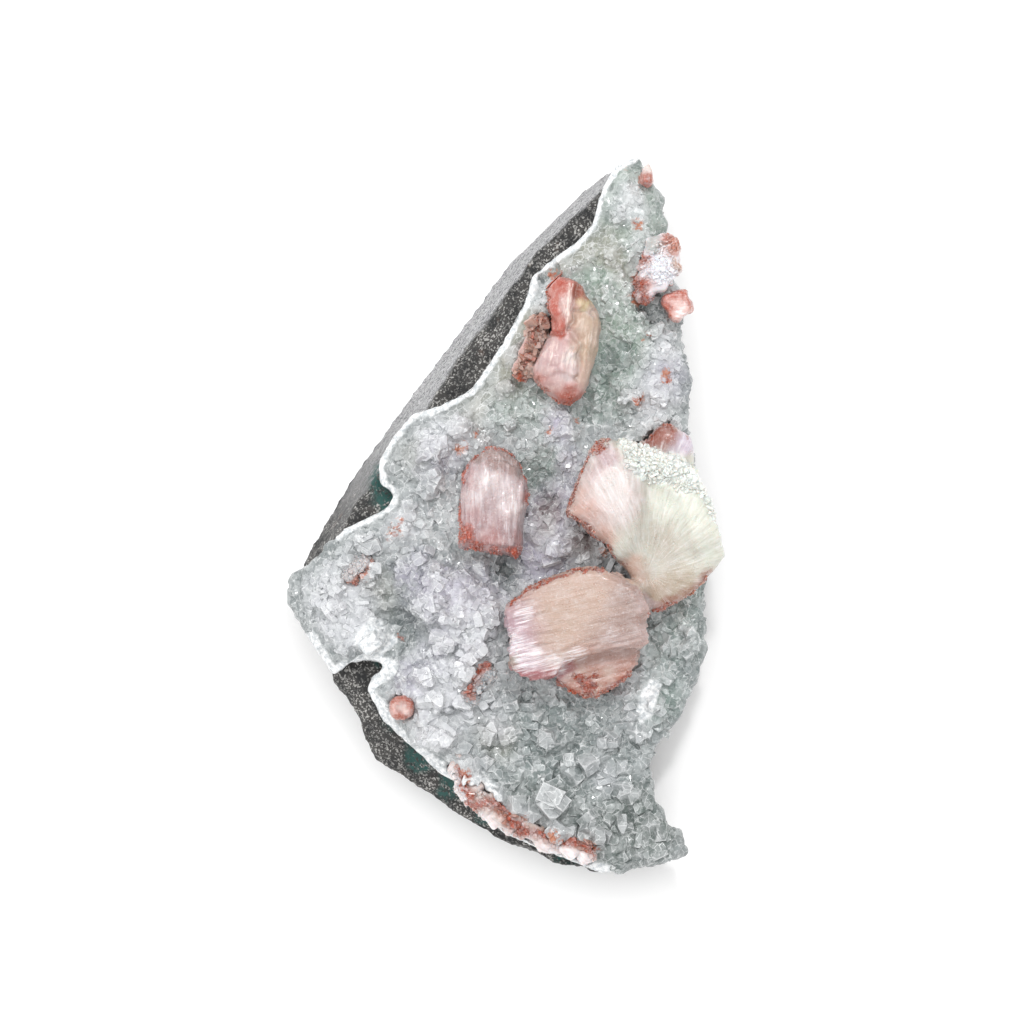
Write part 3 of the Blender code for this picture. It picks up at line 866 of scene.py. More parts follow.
@dataclass
class BasaltMatrix:
    """The slab of basalt: its flat back, its sawn side, and the broken faces between."""

    node: str = "basalt_matrix"
    cell: float = 0.55
    coarse: float = 3.6
    coarse_depth: float = 0.60
    fine: float = 0.9
    fine_depth: float = 0.34
    saw_facing: tuple[float, float] = (-0.80, 0.60)
    saw_smoothing: float = 0.70
    saw_ends: tuple[float, float] = (-6.0, 18.0)
    celadonite: tuple[Spot, ...] = (
        (-17.6, 4.6, 4.4, 2.6), (-17.0, 0.6, 2.2, 2.0), (-16.8, -31.4, 2.0, 1.4), (-12.6, -36.4, 3.4, 2.6),
        (-8.0, -41.0, 3.0, 2.6), (-18.4, -21.6, 1.8, 1.8), (9.0, -51.4, 2.4, 1.6), (-3.2, -46.0, 1.8, 1.4),
    )
    finish: BasaltFinish = BasaltFinish()

    def build(self) -> bpy.types.Object:
        """Roughens the rock, marks its sawn and green places, and dresses it.

        Returns:
            The finished piece.
        """
        piece = fine_copy(self.node, "basalt_rock", self.cell, 1)
        mesh = piece.data
        points, normals = points_of(mesh), normals_of(mesh)
        sawn = self.sawn_share(points, normals)
        noise = NoiseField(21)
        rough = self.coarse_depth * (noise.layered(points, self.coarse, 3) - 0.5)
        rough += self.fine_depth * (np.abs(noise.layered(points, self.fine, 2)) - 0.6)
        rough *= 1.0 - self.saw_smoothing * sawn
        back = fade(normals[:, 2], -0.95, -0.5)
        points += normals * (rough * (1.0 - back))[:, None]
        move_points(mesh, points)
        set_mask(mesh, "sawn", np.maximum(sawn, 0.7 * back))
        set_mask(mesh, "celadonite", bells(noise.wander(points, 1.4, 0.8), self.celadonite))
        mesh.materials.append(self.finish.material())
        mesh.shade_smooth()
        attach(piece, BODY)
        return piece

    def sawn_share(self, points: Points, normals: Points) -> np.ndarray:
        """Finds the sawn side by where it faces.

        Args:
            points: the vertices' places.
            normals: and their normals.

        Returns:
            1 on the sawn side and 0 elsewhere, for each vertex.
        """
        facing = normals[:, 0] * self.saw_facing[0] + normals[:, 1] * self.saw_facing[1]
        level = fade(np.abs(normals[:, 2] - 0.2), 0.10, 0.22)
        low, high = self.saw_ends
        return fade(facing, 0.93, 0.85) * level * fade(points[:, 1], high, low)


# ---------------------------------------------------------------- small crystals

class Habit(Enum):
    """The forms in which small crystals grow."""

    BLOCK = "square block with cut corners"
    POINTED = "square prism with a low pyramid"
    BLADE = "thin tablet"


@dataclass(frozen=True)
class Shape:
    """One small crystal, about one unit wide and from -0.5 to about 0.5 high."""

    points: Points
    triangles: np.ndarray
    edge: np.ndarray

    @classmethod
    def of(cls, habit: Habit) -> "Shape":
        """Models a crystal.

        Args:
            habit: its form.

        Returns:
            Its points, its triangles, and for each point 1 on an edge or 0 in the middle of a face.
        """
        bm = bmesh.new()
        if habit is Habit.POINTED:
            bmesh.ops.create_cube(bm, size=1.0, matrix=Matrix.Diagonal((0.85, 0.85, 0.8, 1.0)))
            top = max(bm.faces, key=lambda face: face.calc_center_median().z)
            raised = bmesh.ops.extrude_face_region(bm, geom=[top])["geom"]
            bmesh.ops.delete(bm, geom=[top], context="FACES_ONLY")
            tip = [item for item in raised if isinstance(item, bmesh.types.BMVert)]
            bmesh.ops.scale(bm, verts=tip, vec=(0.25, 0.25, 1.0))
            bmesh.ops.translate(bm, verts=tip, vec=(0.0, 0.0, 0.34))
        else:
            size = (1.0, 0.92, 0.95) if habit is Habit.BLOCK else (1.35, 0.42, 1.0)
            bmesh.ops.create_cube(bm, size=1.0, matrix=Matrix.Diagonal((*size, 1.0)))
            upper = [vert for vert in bm.verts if vert.co.z > 0.0]
            offset = 0.26 * min(size)
            bmesh.ops.bevel(
                bm, geom=upper, offset=offset, segments=1, profile=0.5, affect="VERTICES", material=-1
            )
        corners = len(bm.verts)
        bmesh.ops.poke(bm, faces=bm.faces[:])
        bmesh.ops.recalc_face_normals(bm, faces=bm.faces[:])
        bm.verts.index_update()
        points = np.array([vert.co for vert in bm.verts])
        triangles = np.array([[vert.index for vert in face.verts] for face in bm.faces])
        bm.free()
        # Extruding leaves the faces in an order that differs from run to run, so everything is sorted.
        order = np.lexsort(points.round(5).T)
        triangles = np.argsort(order)[triangles]
        triangles = np.array(sorted(np.roll(row, -row.argmin()).tolist() for row in triangles))
        return cls(points[order], triangles, (order < corners).astype(float))


NEIGHBOURS = tuple(itertools.product((-1, 0, 1), repeat=3))


@dataclass(frozen=True)
class Growth:
    """How small crystals grow on part of a surface."""

    name: str
    share: tuple[float, float, float]
    size: tuple[float, float]
    spacing: float
    lean: float = 0.42
    sunk: tuple[float, float] = (-0.54, -0.28)
    small_many: float = 1.8

    def seats(self, points: Points, usable: np.ndarray) -> list[int]:
        """Chooses places for the crystals, no two closer than the spacing.

        Args:
            points: the surface's vertices, in millimetres.
            usable: whether a crystal may stand at each.

        Returns:
            The chosen vertices.
        """
        rows = np.random.default_rng(4).permutation(np.flatnonzero(usable))
        cells = np.floor(points / self.spacing).astype(int).tolist()
        taken: dict[tuple[int, ...], list[int]] = {}
        kept = []
        for row in rows:
            x, y, z = cells[row]
            around = ((x + i, y + j, z + k) for i, j, k in NEIGHBOURS)
            near = (other for cell in around for other in taken.get(cell, ()))
            if all(math.dist(points[row], points[other]) >= self.spacing for other in near):
                taken.setdefault((x, y, z), []).append(row)
                kept.append(row)
        return kept

    def crystals(self, seats: Points, facings: Points,
                 scale: np.ndarray) -> tuple[bpy.types.Mesh, np.ndarray]:
        """Models the crystals as one mesh.

        Args:
            seats: where each stands, in millimetres.
            facings: the surface's normal there.
            scale: how large each is beside the growth's own sizes.

        Returns:
            The mesh, and for each vertex the row of its crystal's seat.
        """
        count = len(seats)
        chance = np.random.default_rng(count)
        smallest, largest = self.size
        size = scale * (smallest + (largest - smallest) * chance.random(count) ** self.small_many)
        up = unit(facings + self.lean * chance.uniform(-0.8, 0.8, (count, 3)))
        side = unit(np.cross(up, chance.normal(size=(count, 3))))
        frames = np.stack([side, np.cross(up, side), up], axis=2)
        stretch = size[:, None] * chance.uniform([0.8, 0.7, 0.85], [1.15, 1.1, 1.25], (count, 3))
        kinds = chance.choice(len(Habit), count, p=self.share)
        middles = seats + up * (size * chance.uniform(*self.sunk, count))[:, None]
        tones = chance.random(count)
        all_points, all_triangles, all_owners, all_edges = [], [], [], []
        start = 0
        for kind, habit in enumerate(Habit):
            rows = np.flatnonzero(kinds == kind)
            shape = Shape.of(habit)
            placed = np.einsum("nij,nmj->nmi", frames[rows], shape.points[None] * stretch[rows][:, None])
            all_points.append((placed + middles[rows][:, None]).reshape(-1, 3))
            offsets = start + np.arange(len(rows)) * len(shape.points)
            all_triangles.append((shape.triangles[None] + offsets[:, None, None]).reshape(-1, 3))
            all_owners.append(np.repeat(rows, len(shape.points)))
            all_edges.append(np.tile(shape.edge, len(rows)))
            start += len(rows) * len(shape.points)
        owners = np.concatenate(all_owners)
        mesh = bpy.data.meshes.new(self.name)
        mesh.from_pydata(inside_box(np.concatenate(all_points)) * MM, [], np.concatenate(all_triangles))
        set_mask(mesh, "edge", np.concatenate(all_edges))
        set_mask(mesh, "tone", tones[owners])
        return mesh, owners


# ---------------------------------------------------------------- crust

UPPER_FOOT, UPPER_LEFT, BASIN_TOP = 6.0, -3.0, -28.0


class CrustEdge:
    """The crust's outline, read from the upright walls of its CAD node."""

    SPACING = 0.4
    UPRIGHT = 0.02
    BASALT_SIDE = -0.15
    FOOT_FACING, FOOT_RIGHT, FOOT_TOP = -0.5, 16.0, -18.0
    LOBE_RIGHT, LOBE_FOOT, LOBE_TOP = -24.5, -23.5, -3.5

    def __init__(self, node: str) -> None:
        """Collects points along the walls' feet.

        Args:
            node: the crust's CAD node.
        """
        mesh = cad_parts[node].data
        self.places: list[Vector] = []
        self.facings: list[Vector] = []
        for polygon in mesh.polygons:
            corners = [mesh.vertices[index].co / MM for index in polygon.vertices]
            if abs(polygon.normal.z) > self.UPRIGHT:
                continue
            sides = zip(corners, corners[1:] + corners[:1])
            start, end = max(sides, key=lambda pair: (pair[0] - pair[1]).to_2d().length)
            steps = int((start - end).to_2d().length / self.SPACING) + 1
            for step in range(steps):
                self.places.append(start.lerp(end, step / steps).to_2d())
                self.facings.append(polygon.normal.to_2d())
        self.tree = KDTree(len(self.places))
        for index, place in enumerate(self.places):
            self.tree.insert((place.x, place.y, 0.0), index)
        self.tree.balance()

    def distance(self, points: Points) -> tuple[np.ndarray, np.ndarray]:
        """How far each point is from the outline, and whether the rock lies beyond it there.

        Args:
            points: places in millimetres.

        Returns:
            The distances, and 1 where the nearest stretch borders bare rock, else 0.
        """
        distances, rocky = np.empty(len(points)), np.empty(len(points))
        for row, (x, y, _) in enumerate(points):
            _, index, distances[row] = self.tree.find((x, y, 0.0))
            place, facing = self.places[index], self.facings[index]
            left = facing.x < self.BASALT_SIDE and not self.on_left_lobe(place)
            foot = facing.y < self.FOOT_FACING and place.x < self.FOOT_RIGHT and place.y < self.FOOT_TOP
            rocky[row] = left or foot
        return distances, rocky

    @classmethod
    def on_left_lobe(cls, place: Vector) -> bool:
        """Whether a place is on the lobe that hangs over the rock at the left."""
        return place.x < cls.LOBE_RIGHT and cls.LOBE_FOOT < place.y < cls.LOBE_TOP


@dataclass(frozen=True)
class CrustColours:
    """The crust's colours over its length, where it is stained red, and its painted shade in hollows and
    painted light on mound tops.
    """

    body: str = "#a5a9ab"
    # deep: painted shade, laid where the crust or a small crystal's foot lies below its surroundings.
    deep: str = "#5f6867"
    hollow_shade_share: float = 0.62
    # crown: painted light, laid on the tops of the mounds.
    crown_light: str = "#c3c3c6"
    crown_light_share: float = 0.45
    tints: tuple[Tint, ...] = (
        Tint("#8a9c8e", (
            (14.0, 26.0, 14.0, 1.1), (18.6, 46.0, 12.0, 1.0), (16.0, 33.0, 8.0, 0.8), (2.0, 17.0, 7.0, 0.6),
            (8.0, 8.0, 7.0, 0.6), (22.0, 8.0, 10.0, 0.4),
        )),
        Tint("#768981", (
            (15.6, 22.6, 5.0, 0.9), (13.0, 17.0, 4.6, 0.6), (26.0, -19.0, 8.0, 0.9), (27.6, -12.0, 5.0, 0.7),
            (23.6, -28.0, 6.0, 0.8), (4.4, 6.8, 5.0, 0.6),
        )),
        Tint("#76807f", (
            (10.0, -34.0, 14.0, 1.1), (2.0, -38.0, 10.0, 0.8), (17.0, -44.0, 12.0, 1.0), (4.0, -30.0, 8.0, 0.6),
        )),
        Tint("#5f6864", (
            (17.0, -48.0, 10.0, 1.5), (23.0, -47.0, 9.0, 1.3), (8.0, -44.0, 6.0, 0.8), (2.0, -42.0, 5.0, 0.7),
        )),
        Tint("#b6aec3", (
            (-7.0, -14.0, 9.0, 1.0), (-9.0, -21.0, 6.0, 0.6), (5.0, -4.5, 8.0, 1.1), (9.0, 2.0, 6.0, 0.7),
            (-10.0, 9.0, 5.0, 0.5), (-14.0, -9.0, 5.0, 0.5), (8.1, 13.4, 4.0, 0.8), (-14.0, -25.0, 5.0, 0.6),
            (24.0, 20.0, 6.0, 0.5), (10.0, 8.4, 4.0, 0.6),
        )),
        Tint("#8c8876", (
            (-1.0, 22.0, 6.5, 1.0), (3.0, 28.0, 5.0, 0.9), (-6.0, 15.6, 5.0, 0.9), (-14.0, 10.0, 5.0, 0.3),
            (9.0, 38.6, 5.0, 0.6), (14.4, 41.0, 6.0, 0.7), (17.4, 37.0, 4.0, 0.6), (-19.4, -12.0, 5.0, 0.6),
            (-2.0, -33.0, 5.0, 0.6),
        )),
        Tint("#d0d1d5", (
            (-26.0, -14.0, 9.0, 1.3), (-10.0, 13.0, 7.0, 1.1), (-6.0, -18.0, 9.0, 1.3),
            (-12.0, -33.0, 6.0, 1.2), (-9.0, -28.0, 8.0, 1.3), (25.0, 25.0, 5.0, 1.0), (22.0, 16.0, 5.0, 0.9),
            (15.0, -39.0, 4.0, 0.6), (-20.0, -18.0, 5.0, 0.8), (-2.0, -31.0, 4.0, 0.8), (18.0, 47.0, 4.0, 0.7),
            (-15.0, -1.0, 5.0, 0.6), (6.0, -4.0, 4.0, 0.6),
        )),
        # Painted shade: dark spots in crevices, below and beside the barrel and in pits between the mounds.
        Tint("#5b6164", (
            (-0.2, -8.0, 3.4, 1.0), (-15.4, -16.6, 3.0, 0.8), (-16.0, -20.0, 2.4, 0.8), (22.4, 30.6, 2.8, 0.9),
            (20.4, 33.6, 1.8, 0.7), (1.0, -3.4, 2.2, 0.5), (27.4, -23.0, 3.0, 0.6),
        )),
        Tint("#77605c", (
            (6.0, -1.6, 3.4, 1.0), (7.6, 1.4, 3.4, 0.8), (12.4, -4.6, 3.4, 1.0), (-3.0, 11.0, 2.4, 0.6),
        )),
        Tint("#33443f", ((-18.6, -21.0, 1.5, 1.6), (26.6, -18.6, 1.4, 0.7), (20.6, 53.6, 1.0, 1.8))),
    )
    iron: tuple[Spot, ...] = (
        (20.1, 17.3, 2.0, 1.0), (24.3, 20.9, 1.8, 1.2), (21.0, 27.0, 1.0, 0.9), (17.9, 52.4, 1.2, 0.8),
        (20.0, 43.3, 1.6, 1.2), (19.6, 35.6, 2.0, 1.5), (19.6, 32.6, 1.8, 1.5), (6.2, 12.0, 1.6, 1.0),
        (10.6, 13.8, 1.4, 0.9), (-6.6, 9.6, 2.2, 1.0), (-4.4, 12.4, 1.3, 1.0), (-17.0, -2.6, 2.6, 0.9),
        (-15.4, -0.6, 2.0, 0.8), (-21.9, -8.4, 3.0, 1.0), (-15.9, -18.0, 1.4, 0.9), (-4.2, -25.0, 2.4, 1.0),
        (-15.6, -28.9, 2.6, 1.2), (-6.6, -39.6, 3.0, 1.3), (-3.4, -43.6, 3.0, 1.2), (2.0, -46.6, 3.0, 1.1),
        (6.6, -48.8, 2.8, 1.0), (12.6, -50.6, 2.8, 1.0), (3.2, 24.8, 2.4, 1.0), (4.4, 28.0, 2.0, 1.0),
        (7.0, 36.4, 2.2, 0.9), (10.8, -1.6, 2.0, 0.6), (14.6, -5.8, 2.0, 0.9), (20.8, 50.6, 1.6, 1.2),
        (-18.8, 13.8, 1.0, 0.6), (0.4, -24.0, 2.0, 0.5),
    )

    def mark(self, mesh: bpy.types.Mesh, points: Points, above: np.ndarray) -> None:
        """Stores the colours on a mesh of the crust, with painted shade where it lies below its surroundings
        and painted light where it stands above them.

        Args:
            mesh: the mesh, whose vertices are the points.
            points: their places in millimetres.
            above: how far each stands above its surroundings.
        """
        noise = NoiseField(5)
        moved = noise.wander(noise.wander(points, 5.0, 1.6), 1.6, 0.7)
        colours = layered_tints(moved, self.body, self.tints)
        # Painted shade in the hollows and at the crystals' feet, then painted light on the high places.
        hollow_shade = fade(above + 0.4 * noise.at(points, 2.4), -2.0, 0.2)
        colours = blend(colours, self.hollow_shade_share * hollow_shade, self.deep)
        high = fade(above + 0.4 * noise.at(points, 2.0), 1.5, 0.0)
        set_tint(mesh, blend(colours, self.crown_light_share * high, self.crown_light))
        set_mask(mesh, "iron", bells(noise.wander(points, 1.2, 0.8), self.iron))


def in_upper_part(points: Points) -> np.ndarray:
    """Whether each point is in the crust's upper part."""
    return (points[:, 1] > UPPER_FOOT) & (points[:, 0] > UPPER_LEFT)


def in_basin(points: Points) -> np.ndarray:
    """Whether each point is in the lower basin."""
    return points[:, 1] <= BASIN_TOP


@dataclass
class DruseCrust:
    """The crust: its lumpy ground, its white edge of chalcedony, and the small crystals all over it."""

    node: str = "apophyllite_crust"
    cell: float = 0.42
    edge_span: tuple[float, float] = (-24.0, 0.0)
    edge_widths: tuple[float, float] = (1.25, 0.55)
    edge_height: float = 0.20
    edge_gap: float = 0.35
    edge_reach: float = 1.9
    edge_least: float = 0.45
    mound: float = 3.4
    mound_height: float = 1.1
    lump_height: float = 0.35
    steepest: float = 0.05
    ground_bump: float = 0.35
    colours: CrustColours = CrustColours()
    finish: DruseFinish = DruseFinish()
    calm: tuple[Spot, ...] = (
        (-1.0, 22.0, 6.5, 1.2), (3.4, 28.6, 5.0, 1.2), (-6.0, 16.0, 5.0, 1.0), (8.6, 39.0, 4.4, 1.0),
        (13.0, 42.0, 4.0, 0.8), (18.0, 50.0, 5.0, 0.7),
    )
    growths: tuple[tuple[Growth, Callable[[Points], np.ndarray]], ...] = (
        (Growth("druse_upper", (0.5, 0.4, 0.1), (0.7, 1.6), 0.78), in_upper_part),
        (Growth("druse_middle", (0.5, 0.25, 0.25), (0.7, 2.0), 0.82),
         lambda points: ~in_basin(points) & ~in_upper_part(points)),
        (Growth("druse_basin", (0.6, 0.3, 0.1), (1.1, 3.2), 1.12), in_basin),
    )

    def build(self) -> list[bpy.types.Object]:
        """Builds the ground and every growth on it.

        Returns:
            The finished pieces.
        """
        ground = fine_copy(self.node, "druse_ground", self.cell, 3)
        mesh = ground.data
        before = points_of(mesh)
        noise = NoiseField(8)
        distance, rocky = CrustEdge(self.node).distance(before)
        band = np.interp(before[:, 1], self.edge_span, self.edge_widths)
        band = band * (1.0 + 0.5 * noise.at(before, 1.9)) + 0.30 * np.abs(noise.at(before, 0.8))
        rim = fade(distance - band, 0.0, 0.25) * rocky
        move_points(mesh, before + normals_of(mesh) * self.relief(before, noise, rim)[:, None])
        points, normals = points_of(mesh), normals_of(mesh)
        surroundings = Relief(points[normals[:, 2] > 0.2])
        self.colours.mark(mesh, points, surroundings.above(points))
        set_mask(mesh, "chalcedony", rim * fade(normals[:, 2], -0.2, -0.6))
        set_mask(mesh, "ground", np.ones(len(points)))
        set_mask(mesh, "tone", 0.5 + 0.5 * noise.at(points, 1.4))
        set_mask(mesh, "edge", np.zeros(len(points)))
        mesh.materials.append(self.finish.material())
        mesh.shade_smooth()
        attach(ground, BODY)
        outside = (distance > band + self.edge_gap) | (rocky < 0.5)
        usable = (normals[:, 2] > self.steepest) & (distance > self.edge_gap) & outside
        room = np.clip((distance - band * rocky) / self.edge_reach, self.edge_least, 1.0)
        grown = [
            self.grow(mesh, growth, usable & where(points), room, surroundings)
            for growth, where in self.growths
        ]
        return [ground, *grown]

    def relief(self, points: Points, noise: NoiseField, rim: np.ndarray) -> np.ndarray:
        """How far the ground rises in mounds, and how rough its white edge is.

        Args:
            points: the vertices' places.
            noise: the noise that it follows.
            rim: 1 on the white edge, 0 elsewhere.

        Returns:
            The rise of each vertex along its normal.
        """
        mounds = np.abs(noise.at(points, self.mound)) + 0.5 * np.abs(noise.at(points + 3.3, self.mound / 2))
        relief = self.mound_height * (mounds - 0.5) * (1.0 - np.clip(bells(points, self.calm), 0.0, 0.8))
        relief += self.lump_height * (noise.layered(points, 1.5, 3) - 0.35)
        relief *= 1.0 - rim
        return relief + rim * self.edge_height * (noise.layered(points, 0.9, 2) - 0.3)

    def grow(self, ground: bpy.types.Mesh, growth: Growth, usable: np.ndarray, room: np.ndarray,
             surroundings: Relief) -> bpy.types.Object:
        """Grows small crystals on the ground.

        Args:
            ground: the finished ground.
            growth: what grows.
            usable: whether a crystal may stand at each vertex.
            room: how large it may be there, beside the growth's own sizes.
            surroundings: the ground's height round about.

        Returns:
            The crystals, as one joined piece.
        """
        points, normals = points_of(ground), normals_of(ground)
        seats = growth.seats(points, usable)
        scale = (1.0 - 0.6 * np.clip(bells(points[seats], self.calm), 0.0, 1.0)) * room[seats]
        crystals, _ = growth.crystals(points[seats], normals[seats], scale)
        places = points_of(crystals)
        # The crystals take the crust's colours, so their feet get its painted shade.
        self.colours.mark(crystals, places, surroundings.above(places))
        set_mask(crystals, "chalcedony", np.zeros(len(places)))
        set_mask(crystals, "ground", np.full(len(places), self.ground_bump))
        crystals.materials.append(ground.materials[0])
        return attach(new_piece(growth.name, crystals), BODY)


# ---------------------------------------------------------------- large crystals

Shares = tuple[float, float, float]
CRUMBS: Shares = (0.5, 0.2, 0.3)
GRAINS: Shares = (0.5, 0.3, 0.2)
CHIPS: Shares = (0.4, 0.2, 0.4)
PLATES: Shares = (0.1, 0.2, 0.7)
RIM_STEEPEST = 0.12


@dataclass(frozen=True)
class Scales:
    """Crumbs and scales that stand on a crystal where one of its masks is strong."""

    growth: Growth
    mask: str
    least: float = 0.5
    steepest: float = -0.1


def crumbs(name: str, share: Shares, size: tuple[float, float], spacing: float, *where: object,
           sunk: tuple[float, float] = (-0.25, 0.05), mask: str = "iron") -> Scales:
    """Crumbs that lean every way.

    Args:
        name: the piece's name.
        share: how many of them have each habit.
        size: the smallest and the largest, in millimetres.
        spacing: how far apart they stand at least.
        where: the least of the mask, and the steepest wall, if not the usual ones.
        sunk: how deep they sit.
        mask: the mask that says where they stand.

    Returns:
        What grows where.
    """
    return Scales(Growth(name, share, size, spacing, 0.8, sunk), mask, *where)


@dataclass(frozen=True)
class Squaring:
    """Draws a round outline out into a block's: its middle, half its size, its turn and its top's share."""

    POWER = 6

    x: float
    y: float
    half_width: float
    half_height: float
    turn: float = 0.0
    square_top: float = 1.0
    strength: float = 0.55

    def moved(self, points: Points) -> Points:
        """Moves points out towards the corners.

        Args:
            points: the vertices' places.

        Returns:
            The new places.
        """
        cos, sin = math.cos(math.radians(self.turn)), math.sin(math.radians(self.turn))
        axes = np.array(((cos, -sin), (sin, cos)))
        half = (self.half_width, self.half_height)
        places = (points[:, :2] - (self.x, self.y)) @ axes / half
        round_reach = np.hypot(*places.T)
        square_reach = np.maximum((places**self.POWER).sum(axis=1) ** (1.0 / self.POWER), 1e-6)
        share = 1.0 - (1.0 - self.square_top) * fade(places[:, 1], 0.7, 0.1)
        outer = self.strength * share * np.clip(round_reach, 0.0, 1.0) ** 3
        stretch = 1.0 + outer * (round_reach / square_reach - 1.0)
        moved = points.copy()
        moved[:, :2] = (places * stretch[:, None] * half) @ axes.T + (self.x, self.y)
        return moved


@dataclass(frozen=True)
class Sink:
    """Draws one part of a form down: its middle, its reach, and how deep."""

    x: float
    y: float
    reach: float
    depth: float

    def moved(self, points: Points) -> Points:
        """Lowers the points in reach, all of them as deep but those at the edge."""
        share = fade(np.hypot(points[:, 0] - self.x, points[:, 1] - self.y), 0.7 * self.reach, self.reach)
        return points - share[:, None] * (0.0, 0.0, self.depth)


@dataclass(frozen=True)
class Cut:
    """Presses a lump back to the face it stands on: its middle, its reach, the face, and what stays."""

    x: float
    y: float
    reach: float
    face_x: float
    face_y: float
    face_turn: float
    left: float = 0.12

    def moved(self, points: Points) -> Points:
        """Draws the lump's points back towards the face.

        Args:
            points: the points, in millimetres.

        Returns:
            Their new places.
        """
        out = np.array((math.cos(math.radians(self.face_turn)), math.sin(math.radians(self.face_turn))))
        above = np.maximum((points[:, :2] - (self.face_x, self.face_y)) @ out, 0.0)
        near = np.hypot(points[:, 0] - self.x, points[:, 1] - self.y) < self.reach
        moved = points.copy()
        moved[:, :2] -= ((1.0 - self.left) * near * above)[:, None] * out
        return moved


@dataclass
class Crystal:
    """A large crystal: a CAD node's form, with its surface, its colours and its iron-red rims worked in."""

    node: str
    name: str
    slot: str
    finish: PearlFinish
    body: str
    tints: tuple[Tint, ...] = ()
    iron: Region = Region()
    # frost: where the crystal is frosted, and where glare is painted on it.
    frost: Region = Region()
    blades: Region = Region()
    swells: tuple[Spot, ...] = ()
    grooves: tuple[Band, ...] = ()
    groove_depth: float = 0.5
    scales: tuple[Scales, ...] = ()
    cell: float = 0.20
    smoothing: int = 6
    relief: float = 0.08
    uneven: float = 0.22
    swelling: float = 0.10
    squaring: Squaring | None = None
    shapings: tuple[Sink | Cut, ...] = ()
    grain_turn: float = 90.0
    grain: tuple[float, float, float] = (5.0, 0.45, 2.0)

    def build(self) -> list[bpy.types.Object]:
        """Works the crystal's surface, marks it, dresses it and sets its scales.

        Returns:
            The crystal, then its scales.
        """
        piece = fine_copy(self.node, self.name, self.cell, self.smoothing)
        mesh = piece.data
        self.smooth(mesh)
        points, normals = points_of(mesh), normals_of(mesh)
        move_points(mesh, self.sculpt(points, normals))
        self.mark(mesh, points)
        material = self.finish.material()
        mesh.materials.append(material)
        mesh.shade_smooth()
        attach(piece, BODY)
        return [piece] + [self.grow(mesh, scales, material) for scales in self.scales]

    def smooth(self, mesh: bpy.types.Mesh) -> None:
        """Rounds parts of the form that the CAD part has as blocks; most crystals have none."""

    def sculpt(self, points: Points, normals: Points) -> Points:
        """Works the swells, grooves and fine ridges of the surface.

        Args:
            points: the vertices' places.
            normals: and their normals.

        Returns:
            The new places.
        """
        noise = NoiseField(len(self.name))
        turn = math.radians(self.grain_turn)
        cos, sin = math.cos(turn), math.sin(turn)
        x, y = points[:, 0], points[:, 1]
        along = np.stack([x * cos + y * sin, y * cos - x * sin, points[:, 2]], axis=1)
        ridges = noise.at(along, self.grain) + 0.5 * noise.at(along, np.array(self.grain) / 2)
        lift = self.swelling + self.relief * ridges + self.uneven * noise.layered(points, 2.2, 3)
        top = fade(normals[:, 2], 0.6, 0.0)
        moved = noise.wander(points, 1.4, 0.5)
        for width, line in self.grooves:
            lift -= top * self.groove_depth * fade(line_distance(moved, line), 0.0, width)
        worked = points + normals * (lift + top * bells(moved, self.swells))[:, None]
        for shaping in self.shapings:
            worked = shaping.moved(worked)
        return self.squaring.moved(worked) if self.squaring else worked

    def colours(self, points: Points) -> np.ndarray:
        """The colour of each point, as linear red, green, blue and alpha."""
        return layered_tints(points, self.body, self.tints)

    def mark(self, mesh: bpy.types.Mesh, points: Points) -> None:
        """Stores the crystal's colours, where it is red with iron, and where it is frosted and where glare is
        painted.

        Args:
            mesh: the crystal's mesh.
            points: its vertices' places before they were worked.
        """
        moved = NoiseField(3).wander(points, 1.2, 0.5)
        set_tint(mesh, self.colours(moved))
        for name, region in (("iron", self.iron), ("frost", self.frost), ("blades", self.blades)):
            set_mask(mesh, name, region.share(moved))

    def grow(self, mesh: bpy.types.Mesh, scales: Scales, material: bpy.types.Material) -> bpy.types.Object:
        """Sets scales on the crystal, in its own colours.

        Args:
            mesh: the finished crystal's mesh.
            scales: what grows where.
            material: the crystal's material.

        Returns:
            The scales, as one joined piece.
        """
        points, normals = points_of(mesh), normals_of(mesh)
        usable = (mask_of(mesh, scales.mask) > scales.least) & (normals[:, 2] > scales.steepest)
        seats = scales.growth.seats(points, usable)
        crumbs, owners = scales.growth.crystals(points[seats], normals[seats], np.ones(len(seats)))
        hosts = np.array(seats)[owners]
        for layer in list(mesh.attributes):
            if layer.data_type == "FLOAT" and layer.domain == "POINT":
                set_mask(crumbs, layer.name, mask_of(mesh, layer.name)[hosts])
        colours = np.empty(len(mesh.vertices) * 4, np.float32)
        mesh.attributes["tint"].data.foreach_get("color", colours)
        set_tint(crumbs, colours.reshape(-1, 4)[hosts])
        crumbs.materials.append(material)
        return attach(new_piece(scales.growth.name, crumbs), BODY)


